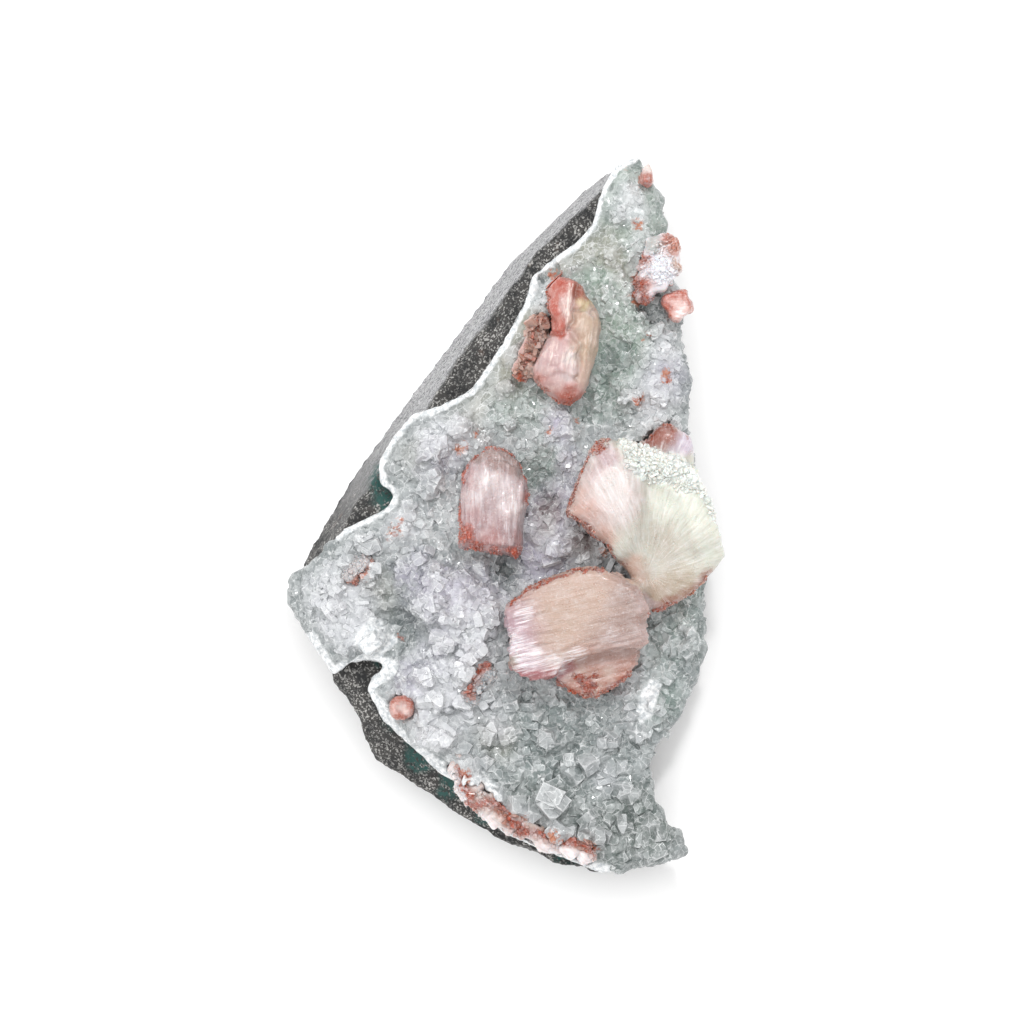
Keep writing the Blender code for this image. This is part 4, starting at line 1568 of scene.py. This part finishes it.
@dataclass
class StilbitePair(Crystal):
    """The pink block and the pale sheaf, grown together, with the small crystal behind the sheaf."""

    sheaf_body: str = "#c8c6ba"
    crest: str = "#f4f3ea"
    sheaf_tints: tuple[Tint, ...] = ()
    seam: tuple[tuple[float, float], tuple[float, float]] = ((13.0, -5.6), (23.0, -13.2))
    root: tuple[float, float] = (20.9, -9.0)
    block_turn: float = 14.0
    lobe: Spot = (15.4, 2.8, 7.8, 1.0)
    lobe_narrow: float = 0.72
    behind: Spot = (24.0, 12.0, 3.6, 0.9)
    crest_angles: tuple[float, ...] = (20.0, 38.0, 55.0, 71.0, 88.0, 100.0)
    crest_radii: tuple[float, ...] = (12.8, 13.4, 15.0, 17.2, 18.2, 20.0)
    crest_starts: tuple[float, ...] = (0.97, 0.96, 0.92, 0.79, 0.77, 0.80)
    crest_ends: tuple[float, float, float, float] = (34.0, 44.0, 98.0, 104.0)
    melting: tuple[int, int, int] = (24, 30, 40)

    def share_of_block(self, points: Points) -> np.ndarray:
        """1 on the pink block, 0 on the sheaf.

        Args:
            points: where it is asked, in millimetres.

        Returns:
            The share at each point.
        """
        start, end = np.array(self.seam)
        along = unit((end - start)[None])[0]
        side = (points[:, 0] - start[0]) * along[1] - (points[:, 1] - start[1]) * along[0]
        return fade(side, 0.15, -0.15)

    def fan(self, points: Points) -> tuple[np.ndarray, np.ndarray]:
        """Angle in degrees and distance of each point from the sheaf's root."""
        x, y = points[:, 0] - self.root[0], points[:, 1] - self.root[1]
        return np.degrees(np.arctan2(y, x)), np.hypot(x, y)

    def share_of_fan(self, points: Points) -> np.ndarray:
        """1 on the sheaf's fan, 0 on its rounded lobe and on the block.

        Args:
            points: where it is asked, in millimetres.

        Returns:
            The share at each point.
        """
        x, y, reach, _ = self.lobe
        away = np.hypot((points[:, 0] - x) / self.lobe_narrow, points[:, 1] - y)
        right = fade(away, reach * 1.04, reach * 0.92) * fade(points[:, 0], 16.0, 14.0)
        return right * (1.0 - self.share_of_block(points))

    def share_of_crest(self, points: Points) -> np.ndarray:
        """1 along the sheaf's upper right edge, where its blades end in crumbs.

        Args:
            points: where it is asked, in millimetres.

        Returns:
            The share at each point.
        """
        angle, radius = self.fan(points)
        edge = np.interp(angle, self.crest_angles, self.crest_radii)
        start = np.interp(angle, self.crest_angles, self.crest_starts) + 0.05 * NoiseField(2).at(points, 1.6)
        crest = fade(radius - edge * start, 0.8, -0.4) * fade(radius - edge, 0.6, 1.4)
        low, full_low, full_high, high = self.crest_ends
        crest *= fade(angle, full_low, low) * fade(angle, full_high, high)
        return crest * (1.0 - self.share_of_block(points))

    def smooth(self, mesh: bpy.types.Mesh) -> None:
        """Melts the crest's blades together and rounds the sheaf.

        Args:
            mesh: the sheaf's and the block's mesh.
        """
        sheaf_rounds, fan_rounds, crest_rounds = self.melting
        soften(mesh, self.share_of_block(points_of(mesh)) < 0.5, sheaf_rounds)
        soften(mesh, self.share_of_fan(points_of(mesh)) > 0.5, fan_rounds)
        soften(mesh, self.share_of_crest(points_of(mesh)) > 0.02, crest_rounds)

    def sculpt(self, points: Points, normals: Points) -> Points:
        """Works the block's ridges and steps, the lobe's dome, and the fan's hollows and crest.

        Args:
            points: the vertices' places.
            normals: and their normals.

        Returns:
            The new places.
        """
        noise = NoiseField(12)
        block, fan = self.share_of_block(points), self.share_of_fan(points)
        crest = self.share_of_crest(points)
        top = fade(normals[:, 2], 0.5, 0.1)
        turn = math.radians(self.block_turn)
        along = points[:, 0] * math.cos(turn) + points[:, 1] * math.sin(turn)
        across = points[:, 1] * math.cos(turn) - points[:, 0] * math.sin(turn)
        lengthways = np.stack([along, across, points[:, 2]], axis=1)
        ridges = noise.at(lengthways, (4.0, 0.45, 1.2)) + 0.6 * noise.at(lengthways, (1.6, 0.30, 0.8))
        worn = np.maximum(fade(along, -1.5, 4.5), 0.9 * fade(across, -22.5, -20.0))
        worn = np.maximum(worn, 0.6 * fade(along, 17.0, 13.0))
        steps = np.floor(2.2 * noise.at(lengthways, (1.6, 1.4, 1.1)) + 0.5) / 2.2
        lift = block * ridges * (0.03 + 0.17 * worn) - 0.10 * block
        lift += block * (1.0 - top) * 0.60 * (steps - 0.5)
        angle, radius = self.fan(points)
        fibres = np.stack([angle, radius, points[:, 2]], axis=1)
        strands = noise.at(fibres, (3.4, 9.0, 3.0)) + 0.6 * noise.at(fibres, (1.7, 5.0, 2.0))
        lift += fan * (0.07 * strands - 0.12) * np.clip(radius / 10.0, 0.3, 1.3)
        for width, line in self.grooves:
            lift -= self.groove_depth * fan * top * fade(line_distance(points, line), 0.0, width)
        crumbs = noise.at(points, 1.1) + 0.7 * noise.at(points, 0.55)
        lift += crest * 0.34 * (crumbs - 0.3)
        lift += (1.0 - block) * (1.0 - fan) * 0.14 * (noise.layered(points, 1.8, 3) - 0.6)
        moved = points + normals * lift[:, None]
        moved[:, 2] += bells(points, [self.lobe]) * top * (1.0 - block) * (1.0 - fan)
        moved[:, 2] += bells(points, [self.behind]) * top
        return moved

    def colours(self, points: Points) -> np.ndarray:
        """The block's colours and the sheaf's, each on its own side of the seam.

        Args:
            points: the points, in millimetres.

        Returns:
            One colour in each row.
        """
        block = self.share_of_block(points)[:, None]
        sheaf = layered_tints(points, self.sheaf_body, self.sheaf_tints)
        sheaf = blend(sheaf, self.share_of_crest(points), self.crest)
        return sheaf + block * (layered_tints(points, self.body, self.tints) - sheaf)

    def mark(self, mesh: bpy.types.Mesh, points: Points) -> None:
        """Stores the crystal's marks, its crest, and the fibres' turn and reach.

        Args:
            mesh: the crystal's mesh.
            points: its vertices' places before they were worked.
        """
        super().mark(mesh, points)
        angle, radius = self.fan(NoiseField(7).wander(points, 3.0, 0.35))
        set_mask(mesh, "block", self.share_of_block(points))
        set_mask(mesh, "crest", self.share_of_crest(points))
        set_mask(mesh, "turn", (angle + FULL_TURN / 2) / FULL_TURN)
        set_mask(mesh, "reach", radius / FAN_REACH)


PINK_PLATE_RIM: Line = (
    (0.4, -13.2), (3.0, -11.2), (6.6, -9.4), (9.5, -8.4), (12.3, -7.8), (14.4, -8.0),
)
PINK_STEP_RIM: Line = ((7.4, -24.6), (8.6, -26.0), (10.8, -27.0), (13.8, -27.2), (16.0, -25.9), (18.4, -24.0))
PINK_LOWER_FACE: Line = ((0.8, -22.6), (3.4, -24.2), (6.4, -24.0), (9.4, -22.8))
LOBE_RIM: Line = (
    (15.6, 11.6), (13.6, 11.2), (12.4, 9.6), (11.4, 7.2), (10.2, 4.4), (9.4, 2.0), (8.9, 0.0), (10.8, -1.0),
    (12.2, -2.4), (13.4, -3.8), (15.0, -4.6), (16.0, -6.6),
)
SHEAF_EDGE: Line = ((27.4, 6.6), (29.6, 2.6), (31.2, -1.8), (32.6, -6.0))
FAN_FOOT: Line = ((21.8, -14.8), (25.6, -13.5), (28.4, -11.6), (30.0, -9.8))
FAN_HOLLOWS: tuple[Line, ...] = (
    ((22.2, -6.8), (23.4, -4.2), (25.0, -1.6)), ((21.6, -5.4), (22.2, -1.0), (22.4, 1.8)),
    ((24.0, -8.0), (28.2, -5.8)),
)
RIM_CRUSTS: Line = (
    (-6.9, -38.2), (-6.2, -41.1), (-4.9, -43.9), (-3.4, -43.4), (-1.7, -43.6), (0.1, -45.1), (0.8, -46.6),
    (3.0, -47.6), (5.5, -48.3), (8.0, -49.3), (9.8, -49.1), (13.2, -50.6), (14.2, -51.8),
)
RIM_FRINGE: Line = (
    (-8.6, -39.4), (-7.6, -42.0), (-5.4, -45.6), (-2.2, -47.6), (1.2, -49.4), (5.0, -50.6), (8.0, -51.4),
    (12.0, -52.6),
)
LOBE_STREAK: Line = ((-23.7, -10.8), (-22.2, -10.3), (-21.3, -9.0), (-20.0, -7.7))
BASIN_STREAK: Line = ((-5.2, -27.0), (-5.0, -25.5), (-4.7, -24.5), (-3.4, -23.0))
BARREL_RIM: Line = (
    (-6.7, -3.4), (-6.9, 0.0), (-6.8, 4.0), (-5.6, 8.0), (-2.4, 10.2), (0.4, 9.4), (1.8, 7.6), (3.2, 4.4),
    (3.2, 1.0),
)
BARREL_CAP: Line = ((-4.6, 8.6), (-2.0, 9.8), (0.6, 8.6), (1.8, 6.4))
UPPER_RIDGE: Line = ((6.8, 34.0), (6.9, 31.4), (7.8, 28.8), (8.0, 27.4))
UPPER_BLADES: Line = ((4.9, 28.8), (4.1, 25.2), (3.0, 22.6), (2.4, 20.6))
UPPER_TIP: Line = ((5.0, 19.6), (7.4, 17.2), (9.5, 16.6), (11.4, 18.2))


def stilbite_pair() -> Crystal:
    """The large pink block and the sheaf.

    Returns:
        The piece, ready to build.
    """
    return StilbitePair(
        "stilbite_pair", "pair", "pale_stilbite",
        SheafFinish("stilbite, pink block and pale sheaf, natural faces", shade="#a08f86", grain_turn=14.0,
                    grain=(3.2, 0.22, 1.0), line_strength=0.18, roughness=0.34),
        body="#ae9088", cell=0.235, smoothing=4,
        tints=(
            Tint("#b394a3", ((1.5, -17.0, 6.0, 0.8), (3.0, -22.0, 5.0, 0.8))),
            Tint("#b89d8b", ((11.4, -12.4, 9.0, 0.9), (8.0, -18.0, 6.0, 0.6), (6.0, -13.0, 4.0, 0.3))),
            Tint("#937a72", ((19.0, -15.6, 6.4, 0.8), (17.6, -11.0, 3.6, 0.6), (14.0, -17.6, 3.6, 0.3))),
            Tint("#b5a19e", ((20.6, -12.6, 2.6, 0.6), (20.4, -17.6, 2.4, 0.6), (16.2, -18.4, 2.4, 0.4))),
            Tint("#ab7b6b", ((13.4, -24.6, 6.0, 1.1), (18.0, -23.0, 3.4, 0.6))),
            Tint("#bea599", ((15.4, -23.6, 1.8, 0.7), (11.0, -23.6, 1.4, 0.6), (13.6, -25.6, 1.3, 0.6))),
            Tint("#9b4f53", (), ((1.3, PINK_LOWER_FACE),)),
            Tint("#918a7b", ((0.9, -21.8, 1.7, 1.0),)),
            Tint("#a66146", ((17.6, -25.2, 2.2, 0.7), (9.4, -26.2, 1.8, 0.5))),
        ),
        sheaf_tints=(
            Tint("#d9dccf", ((27.0, 2.6, 8.0, 1.2), (22.0, 6.0, 6.0, 0.9))),
            Tint("#c8b3af", ((14.6, 3.2, 8.0, 1.8), (12.0, -0.6, 4.0, 0.6))),
            Tint("#d4cdca", ((16.4, 4.6, 5.0, 1.1), (17.6, 0.6, 3.6, 0.7))),
            Tint("#c89e90", ((11.2, 0.0, 3.4, 0.9), (14.2, -3.4, 3.2, 1.0), (10.8, 3.4, 1.8, 0.5))),
            Tint("#b1929a", ((14.8, 9.0, 3.0, 0.8), (13.0, 6.4, 2.0, 0.3))),
            Tint("#c29c89", ((19.0, -8.4, 3.6, 1.1), (22.4, -11.6, 3.6, 0.5))),
            Tint("#b0a89a", ((23.0, -3.4, 3.8, 0.9), (24.6, -5.6, 3.0, 0.5), (21.6, -7.0, 2.4, 0.4))),
            Tint("#a8967f", ((25.6, -10.4, 4.4, 1.0), (22.0, -12.6, 3.0, 0.8))),
            Tint("#d2d5c8", ((31.0, -5.6, 3.0, 1.0),), ((1.8, SHEAF_EDGE),)),
            Tint("#8f5840", (), ((2.0, FAN_FOOT),)),
            Tint("#8e4c3c", ((23.2, 12.6, 4.4, 2.4), (21.4, 11.2, 2.0, 1.2))),
            Tint("#c6b9c8", ((27.4, 11.2, 2.8, 2.0), (25.6, 9.6, 2.0, 0.8))),
        ),
        iron=Region(
            ((13.6, 10.6, 2.6, 1.3), (24.2, 13.6, 2.6, 0.8), (21.0, 12.0, 1.8, 1.0), (17.0, -7.6, 1.8, 0.7),
             (11.6, -25.2, 2.6, 0.75), (14.4, -25.8, 2.0, 0.6), (17.6, -24.6, 1.4, 0.7),
             (10.8, -24.3, 1.0, 2.2), (12.3, -24.9, 0.8, 2.2), (13.5, -24.2, 0.7, 2.2),
             (12.6, -25.9, 1.2, 1.6), (27.4, 12.2, 1.2, 0.6)),
            ((0.50, PINK_PLATE_RIM), (0.8, PINK_STEP_RIM), (0.62, LOBE_RIM), (0.8, FAN_FOOT)),
        ),
        # Painted glare on the block's lower left end and on the lobe; the spot behind the sheaf is frosting.
        frost=Region((
            (2.8, -14.8, 2.6, 1.2), (1.4, -18.6, 3.2, 1.2), (3.4, -21.2, 3.6, 1.5), (7.6, -22.0, 3.0, 1.3),
            (10.8, -20.8, 2.4, 0.8), (15.6, -17.8, 2.2, 0.5), (16.0, 4.0, 4.4, 0.3), (26.8, 11.0, 2.0, 0.8),
        )),
        grooves=tuple((2.2, line) for line in FAN_HOLLOWS), groove_depth=0.12,
        scales=(
            Scales(
                Growth("crest_crumbs", (0.1, 0.4, 0.5), (0.40, 0.95), 0.40, 0.9, (-0.20, 0.20), 1.2), "crest"
            ),
            crumbs("pair_iron_crumbs", CRUMBS, (0.20, 0.50), 0.36, 0.66, RIM_STEEPEST),
        ),
    )


def barrel() -> Crystal:
    """The barrel-shaped crystal at the middle left.

    Returns:
        The piece, ready to build.
    """
    return Crystal(
        "barrel_stilbite", "barrel", "pink_stilbite",
        PearlFinish("stilbite, pink, grown as a barrel", iron="#b8451f", iron_deep="#8c2f16",
                    grain_turn=90.0, grain=(3.0, 0.30, 0.8), streaky_iron=0.7),
        body="#a0888a", cell=0.18, smoothing=3, relief=0.12, uneven=0.28,
        squaring=Squaring(-1.8, 1.2, 5.2, 8.2, square_top=0.25),
        tints=(
            Tint("#a98181", ((-6.2, 0.6, 3.2, 1.0), (-5.4, 5.2, 2.6, 0.6), (-3.0, -3.0, 4.0, 0.6))),
            Tint("#cbbdbd", (
                (1.2, 1.4, 3.6, 1.0), (-2.6, 5.4, 3.0, 1.1), (0.4, 5.0, 3.0, 0.5), (-4.8, 2.6, 2.4, 0.7),
            )),
            Tint("#8b726b", ((-0.8, 9.0, 3.4, 1.1),), ((1.5, BARREL_CAP),)),
            Tint("#a36762", ((3.0, 3.0, 1.6, 0.8), (2.4, -3.4, 1.8, 0.6))),
            Tint("#ad7570", ((-2.4, -5.0, 3.4, 0.8),)),
        ),
        iron=Region(
            ((-5.7, -2.6, 2.3, 1.4), (-4.3, -4.6, 2.1, 1.3), (-1.6, -5.5, 1.7, 1.1), (1.2, -5.2, 2.1, 1.3)),
            ((0.30, BARREL_RIM),),
        ),
        # Painted highlight at the left and down the upper middle, and frosting.
        frost=Region(
            ((1.4, 1.4, 2.6, 0.7), (-5.2, 3.0, 1.6, 0.5), (-0.6, -2.0, 2.0, 0.3)),
            ((0.55, ((-3.3, 7.2), (-2.7, 5.8), (-3.1, 3.9))),),
        ),
        swells=((-2.6, 5.4, 2.2, 0.25),),
        grooves=((0.5, ((-2.2, 7.8), (-2.0, 5.0), (-2.3, 3.0))), (0.6, ((-4.6, 8.2), (-1.4, 8.6), (1.4, 7.4)))),
        groove_depth=0.28,
        scales=(crumbs("barrel_crumbs", CRUMBS, (0.20, 0.45), 0.40, 0.68, RIM_STEEPEST),),
    )


def upper() -> Crystal:
    """The crystal at the upper left, folded and ridged, with red blades at its side.

    Returns:
        The piece, ready to build.
    """
    return Crystal(
        "upper_stilbite", "upper", "pink_stilbite",
        PearlFinish("stilbite, pink with red ridges, natural faces", frost="#f2e4dc", grain_turn=80.0,
                    grain=(2.4, 0.34, 0.8), streaky_iron=0.45, line_strength=0.2, roughness=0.40),
        body="#c09b96", cell=0.18, smoothing=8, relief=0.05, uneven=0.35,
        tints=(
            Tint("#c4a6a6", ((7.4, 23.6, 5.0, 1.2), (9.6, 21.0, 3.6, 0.7))),
            Tint("#b7a18b", ((12.4, 29.0, 3.8, 1.4), (12.4, 24.6, 3.6, 1.4), (12.0, 21.0, 2.6, 0.7))),
            Tint("#cabb92", ((11.7, 31.9, 1.5, 1.3),)),
            Tint("#d0c4c2", ((9.9, 23.2, 1.8, 1.2), (9.4, 20.8, 1.6, 0.7), (12.8, 30.0, 1.2, 0.5))),
            Tint("#ab360b", ((8.6, 34.6, 3.0, 1.3), (5.6, 37.0, 3.0, 1.6)), ((1.5, UPPER_RIDGE),)),
            Tint("#8a4228", ((11.2, 33.6, 2.2, 1.4), (9.8, 35.6, 1.4, 0.8))),
            Tint("#ae5a4a", ((9.6, 17.4, 3.0, 1.5), (5.2, 20.4, 1.6, 0.8))),
            Tint("#a07a68", (), ((2.0, UPPER_BLADES),)),
        ),
        iron=Region(
            ((6.6, 35.2, 1.4, 0.8), (5.0, 20.4, 1.2, 1.0), (11.4, 34.0, 1.6, 0.7)),
            ((0.35, ((6.2, 34.4), (6.1, 31.4), (7.0, 28.6), (7.2, 27.0))), (1.1, UPPER_BLADES),
             (0.35, UPPER_TIP)),
        ),
        # Painted highlight along the ridge at the top, and frosting.
        frost=Region(
            ((9.8, 23.2, 2.0, 1.0), (7.0, 24.4, 2.6, 0.6), (12.4, 27.0, 2.0, 0.4)),
            ((0.8, ((9.2, 34.0), (9.4, 32.0), (9.2, 30.0))), (0.6, ((9.1, 29.0), (9.1, 27.4)))),
        ),
        swells=((7.4, 30.6, 2.2, 0.5), (9.2, 33.0, 1.8, 0.3), (7.0, 23.4, 3.2, 0.5), (10.2, 23.8, 1.1, 0.6),
                (8.7, 21.6, 1.2, 0.5), (10.4, 21.4, 1.0, 0.5), (9.0, 25.2, 1.1, 0.45), (7.0, 21.4, 1.1, 0.35),
                (11.2, 25.4, 0.9, 0.4), (12.4, 28.6, 2.4, 0.4), (12.0, 32.0, 1.4, 0.4), (9.6, 17.6, 1.8, -0.4)),
        grooves=(
            (0.8, ((10.6, 34.0), (10.2, 30.6), (9.8, 28.2), (10.8, 26.2), (11.2, 23.4), (10.6, 20.4))),
            (0.6, ((6.4, 26.8), (8.4, 26.9), (9.8, 28.0))), (0.5, ((10.6, 30.8), (12.4, 30.4), (13.8, 30.8))),
            (0.6, ((3.6, 28.2), (5.4, 27.0))), (0.6, ((2.8, 25.6), (4.8, 24.6))),
            (0.5, ((1.8, 22.8), (3.8, 22.4))), (1.6, UPPER_BLADES),
        ),
        groove_depth=0.75,
        shapings=(
            Cut(5.5, 37.0, 3.4, 7.5, 35.2, 135.0), Sink(4.4, 26.6, 2.8, 0.5), Sink(2.8, 22.6, 2.8, 0.5),
        ),
        blades=Region((), ((1.6, UPPER_BLADES),)),
        scales=(
            crumbs("upper_blades", PLATES, (0.50, 1.50), 0.50, 0.35, sunk=(-0.25, 0.15), mask="blades"),
            crumbs("upper_crumbs", GRAINS, (0.20, 0.45), 0.42, 0.62, RIM_STEEPEST),
        ),
    )


def small_crystals() -> list[Crystal]:
    """The crystals of the upper right edge and the small red ones scattered over the crust.

    Returns:
        The pieces, ready to build.
    """
    red = PearlFinish(
        "heulandite, red with iron, natural faces", shade="#7c3a2c",
        grain=(1.4, 0.30, 0.6), line_strength=0.25, transmission=0.12, roughness=0.26,
    )
    white = PearlFinish(
        "stilbite, white and silky, natural sheaf", shade="#d6c6ca", frost="#fdfafd", grain_turn=25.0,
        grain=(2.2, 0.26, 0.6), line_strength=0.24, roughness=0.4,
    )
    return [
        Crystal(
            "edge_stilbite", "edge_sheaf", "white_stilbite", white, "#efe8ec", cell=0.16, smoothing=5,
            relief=0.16, uneven=0.30, grain_turn=25.0, grain=(2.6, 0.5, 2.0),
            tints=(
                Tint("#a5543f", ((20.6, 38.0, 1.8, 1.0), (20.4, 34.4, 2.4, 1.4), (21.0, 32.2, 1.6, 1.2))),
                Tint("#b5694f", ((24.4, 40.6, 2.4, 1.3), (25.6, 40.0, 1.8, 1.2), (25.0, 41.6, 1.2, 1.0))),
                Tint("#c39a86", ((26.0, 37.4, 1.2, 1.3), (25.8, 35.2, 1.0, 1.0))),
                Tint("#a0a29e", ((22.2, 40.6, 1.8, 1.6),)),
            ),
            iron=Region((
                (20.2, 34.4, 2.2, 1.2), (20.6, 38.6, 1.5, 1.1), (21.0, 32.2, 1.6, 1.2), (25.8, 40.8, 1.3, 1.0),
                (24.4, 41.9, 1.2, 0.8),
            )),
            frost=Region(((23.2, 37.2, 3.6, 1.4), (24.0, 40.2, 1.8, 0.8))),
            scales=(
                crumbs("brush_blades", PLATES, (0.35, 0.90), 0.42, 0.35, sunk=(-0.15, 0.15), mask="frost"),
                crumbs("edge_crumbs", GRAINS, (0.25, 0.60), 0.44),
            ),
        ),
        Crystal(
            "edge_heulandite", "edge_block", "red_heulandite", red, "#b06250", swelling=0.04, cell=0.14,
            smoothing=1, uneven=0.10, squaring=Squaring(26.0, 31.5, 2.0, 1.9, 28.0, strength=0.95),
            tints=(Tint("#d9bcb6", ((26.4, 30.6, 1.8, 1.3), (25.4, 31.8, 1.2, 0.7))),),
            iron=Region(((24.2, 31.4, 1.4, 0.9), (27.6, 31.8, 1.2, 0.8), (25.8, 33.4, 1.2, 0.6))),
            frost=Region(((26.4, 30.4, 1.5, 0.9),)),
        ),
        Crystal(
            "tip_heulandite", "tip_crystal", "red_heulandite", red, "#a5604e", swelling=0.12, cell=0.13,
            smoothing=2, uneven=0.40, iron=Region(((21.3, 50.0, 1.5, 1.2),)),
            tints=(Tint("#d8cfcb", ((21.2, 52.4, 1.5, 1.4),)), Tint("#343a38", ((21.4, 53.9, 0.9, 2.0),))),
        ),
        Crystal(
            "button_heulandite", "button", "red_heulandite", red, "#a4604f", swelling=0.32, cell=0.13,
            smoothing=4, uneven=0.25, swells=((-15.6, -28.9, 1.4, -0.9),),
            tints=(
                Tint("#d8bdb5", ((-15.6, -28.9, 1.3, 1.8),)), Tint("#c79b90", ((-16.8, -29.8, 1.0, 0.5),)),
            ),
            iron=Region(((-14.6, -28.0, 1.2, 0.5), (-16.8, -28.6, 1.0, 0.5))),
        ),
        streak("lobe", red, "#b9b3b3", Tint("#b06a54", (), ((1.2, LOBE_STREAK),)),
               Region(((-21.4, -9.2, 1.4, 0.5),), ((0.7, LOBE_STREAK),))),
        streak("basin", red, "#a7a8aa", Tint("#a8604c", (), ((0.9, BASIN_STREAK),)),
               Region(((-4.8, -24.8, 1.2, 0.4),), ((0.6, BASIN_STREAK),))),
        rim_band(),
    ]


def streak(place: str, finish: PearlFinish, body: str, tint: Tint, iron: Region) -> Crystal:
    """A streak of small red blades on the crust.

    Args:
        place: where on the crust it lies, which starts its names.
        finish: its surface.
        body: its own colour.
        tint: the colour along its middle.
        iron: where it is red with iron.

    Returns:
        The crystals, as one form.
    """
    return Crystal(
        f"{place}_heulandite", f"{place}_blades", "red_heulandite", finish, body, swelling=0.20, cell=0.14,
        smoothing=5, uneven=0.45, tints=(tint,), iron=iron,
        scales=(crumbs(f"{place}_crumbs", CHIPS, (0.40, 1.10), 0.60, -1.0),),
    )


def rim_band() -> Crystal:
    """The brown-red crusts along the lower left rim.

    Returns:
        The piece, ready to build.
    """
    rim = PearlFinish(
        "heulandite, brown-red crusts on the rim", shade="#a07a6c", grain_turn=-40.0, grain=(1.8, 0.4, 0.8),
        transmission=0.05, roughness=0.38,
    )
    return Crystal(
        "rim_heulandite", "rim_band", "rim_heulandite", rim, "#c4b5b0", swelling=0.25, cell=0.17, smoothing=6,
        uneven=0.45, relief=0.14, grain_turn=-40.0, grain=(2.2, 0.6, 1.0),
        tints=(
            Tint("#b58c74", ((6.0, -47.4, 3.4, 0.6), (0.6, -44.6, 2.6, 0.5), (11.6, -49.6, 2.6, 0.4))),
            Tint("#8c4c37", (), ((1.3, RIM_CRUSTS),)),
            Tint("#ddd4d5", (), ((2.2, RIM_FRINGE),)),
        ),
        iron=Region(((-6.8, -39.6, 1.8, 0.4), (-4.6, -43.4, 1.8, 0.4)), ((0.7, RIM_CRUSTS),)),
        frost=Region((), ((1.2, RIM_FRINGE),)),
        scales=(crumbs("rim_crumbs", GRAINS, (0.30, 1.00), 0.55, 0.0),),
    )


# ---------------------------------------------------------------- studio

@dataclass
class Studio:
    """The camera straight above, the soft lights and the pale floor."""

    view_width: float = 153.6
    view_height: float = 24.0
    view_distance: float = 1000.0
    view_centre: tuple[float, float] = (0.9, 0.45)
    floor_size: float = 3000.0
    floor_gap: float = 0.05
    ambient: float = 0.87

    def build(self) -> None:
        """Sets up the camera, the lights, the floor and the sky."""
        self.camera()
        self.lamp("soft_box_above", (-0.10, 0.12, 0.90), 0.70, 3.7)
        self.lamp("soft_box_left", (-0.50, 0.20, 0.60), 0.40, 0.8)
        self.lamp("small_lamp", (0.05, 0.22, 0.60), 0.05, 1.1)
        self.floor()
        self.sky()

    def camera(self) -> None:
        """A long lens looking straight down."""
        data = bpy.data.cameras.new("camera")
        data.lens = data.sensor_width * self.view_distance / self.view_width
        data.clip_end = 10.0
        camera = new_piece("camera", data)
        x, y = self.view_centre
        camera.location = Vector((x, y, self.view_height + self.view_distance)) * MM
        bpy.context.scene.camera = camera

    def lamp(self, name: str, place: tuple[float, float, float], size: float, power: float) -> None:
        """One square soft light that points at the specimen.

        Args:
            name: the light's name.
            place: where it hangs, in metres.
            size: its side, in metres.
            power: in watts.
        """
        data = bpy.data.lights.new(name, "AREA")
        data.size = size
        data.energy = power
        lamp = new_piece(name, data)
        lamp.location = place
        lamp.rotation_euler = (-Vector(place)).to_track_quat("-Z", "Y").to_euler()

    def floor(self) -> None:
        """A wide sheet of card under the specimen."""
        bm = bmesh.new()
        bmesh.ops.create_grid(bm, x_segments=2, y_segments=2, size=self.floor_size * MM / 2)
        bmesh.ops.translate(bm, verts=bm.verts[:], vec=(0.0, 0.0, -self.floor_gap * MM))
        mesh = bpy.data.meshes.new("floor")
        bm.to_mesh(mesh)
        bm.free()
        mesh.materials.append(FloorFinish().material())
        new_piece("floor", mesh)

    def sky(self) -> None:
        """An even white light from all round."""
        world = bpy.data.worlds.new("studio")
        bpy.context.scene.world = world
        world.use_nodes = True
        background = world.node_tree.nodes["Background"]
        background.inputs["Color"].default_value = (1.0, 1.0, 1.0, 1.0)
        background.inputs["Strength"].default_value = self.ambient
        bpy.context.scene.view_settings.view_transform = "Standard"


def main() -> None:
    """Builds the specimen piece by piece, then the studio."""
    logging.basicConfig(level=logging.INFO, format="%(name)s: %(message)s")
    pieces = [BasaltMatrix().build(), *DruseCrust().build()]
    for crystal in (stilbite_pair(), barrel(), upper(), *small_crystals()):
        pieces += crystal.build()
    for piece in pieces:
        triangles = sum(len(polygon.vertices) - 2 for polygon in piece.data.polygons)
        LOG.info("%s: %d triangles", piece.name, triangles)
    Studio().build()


if __name__ == "__main__":
    main()
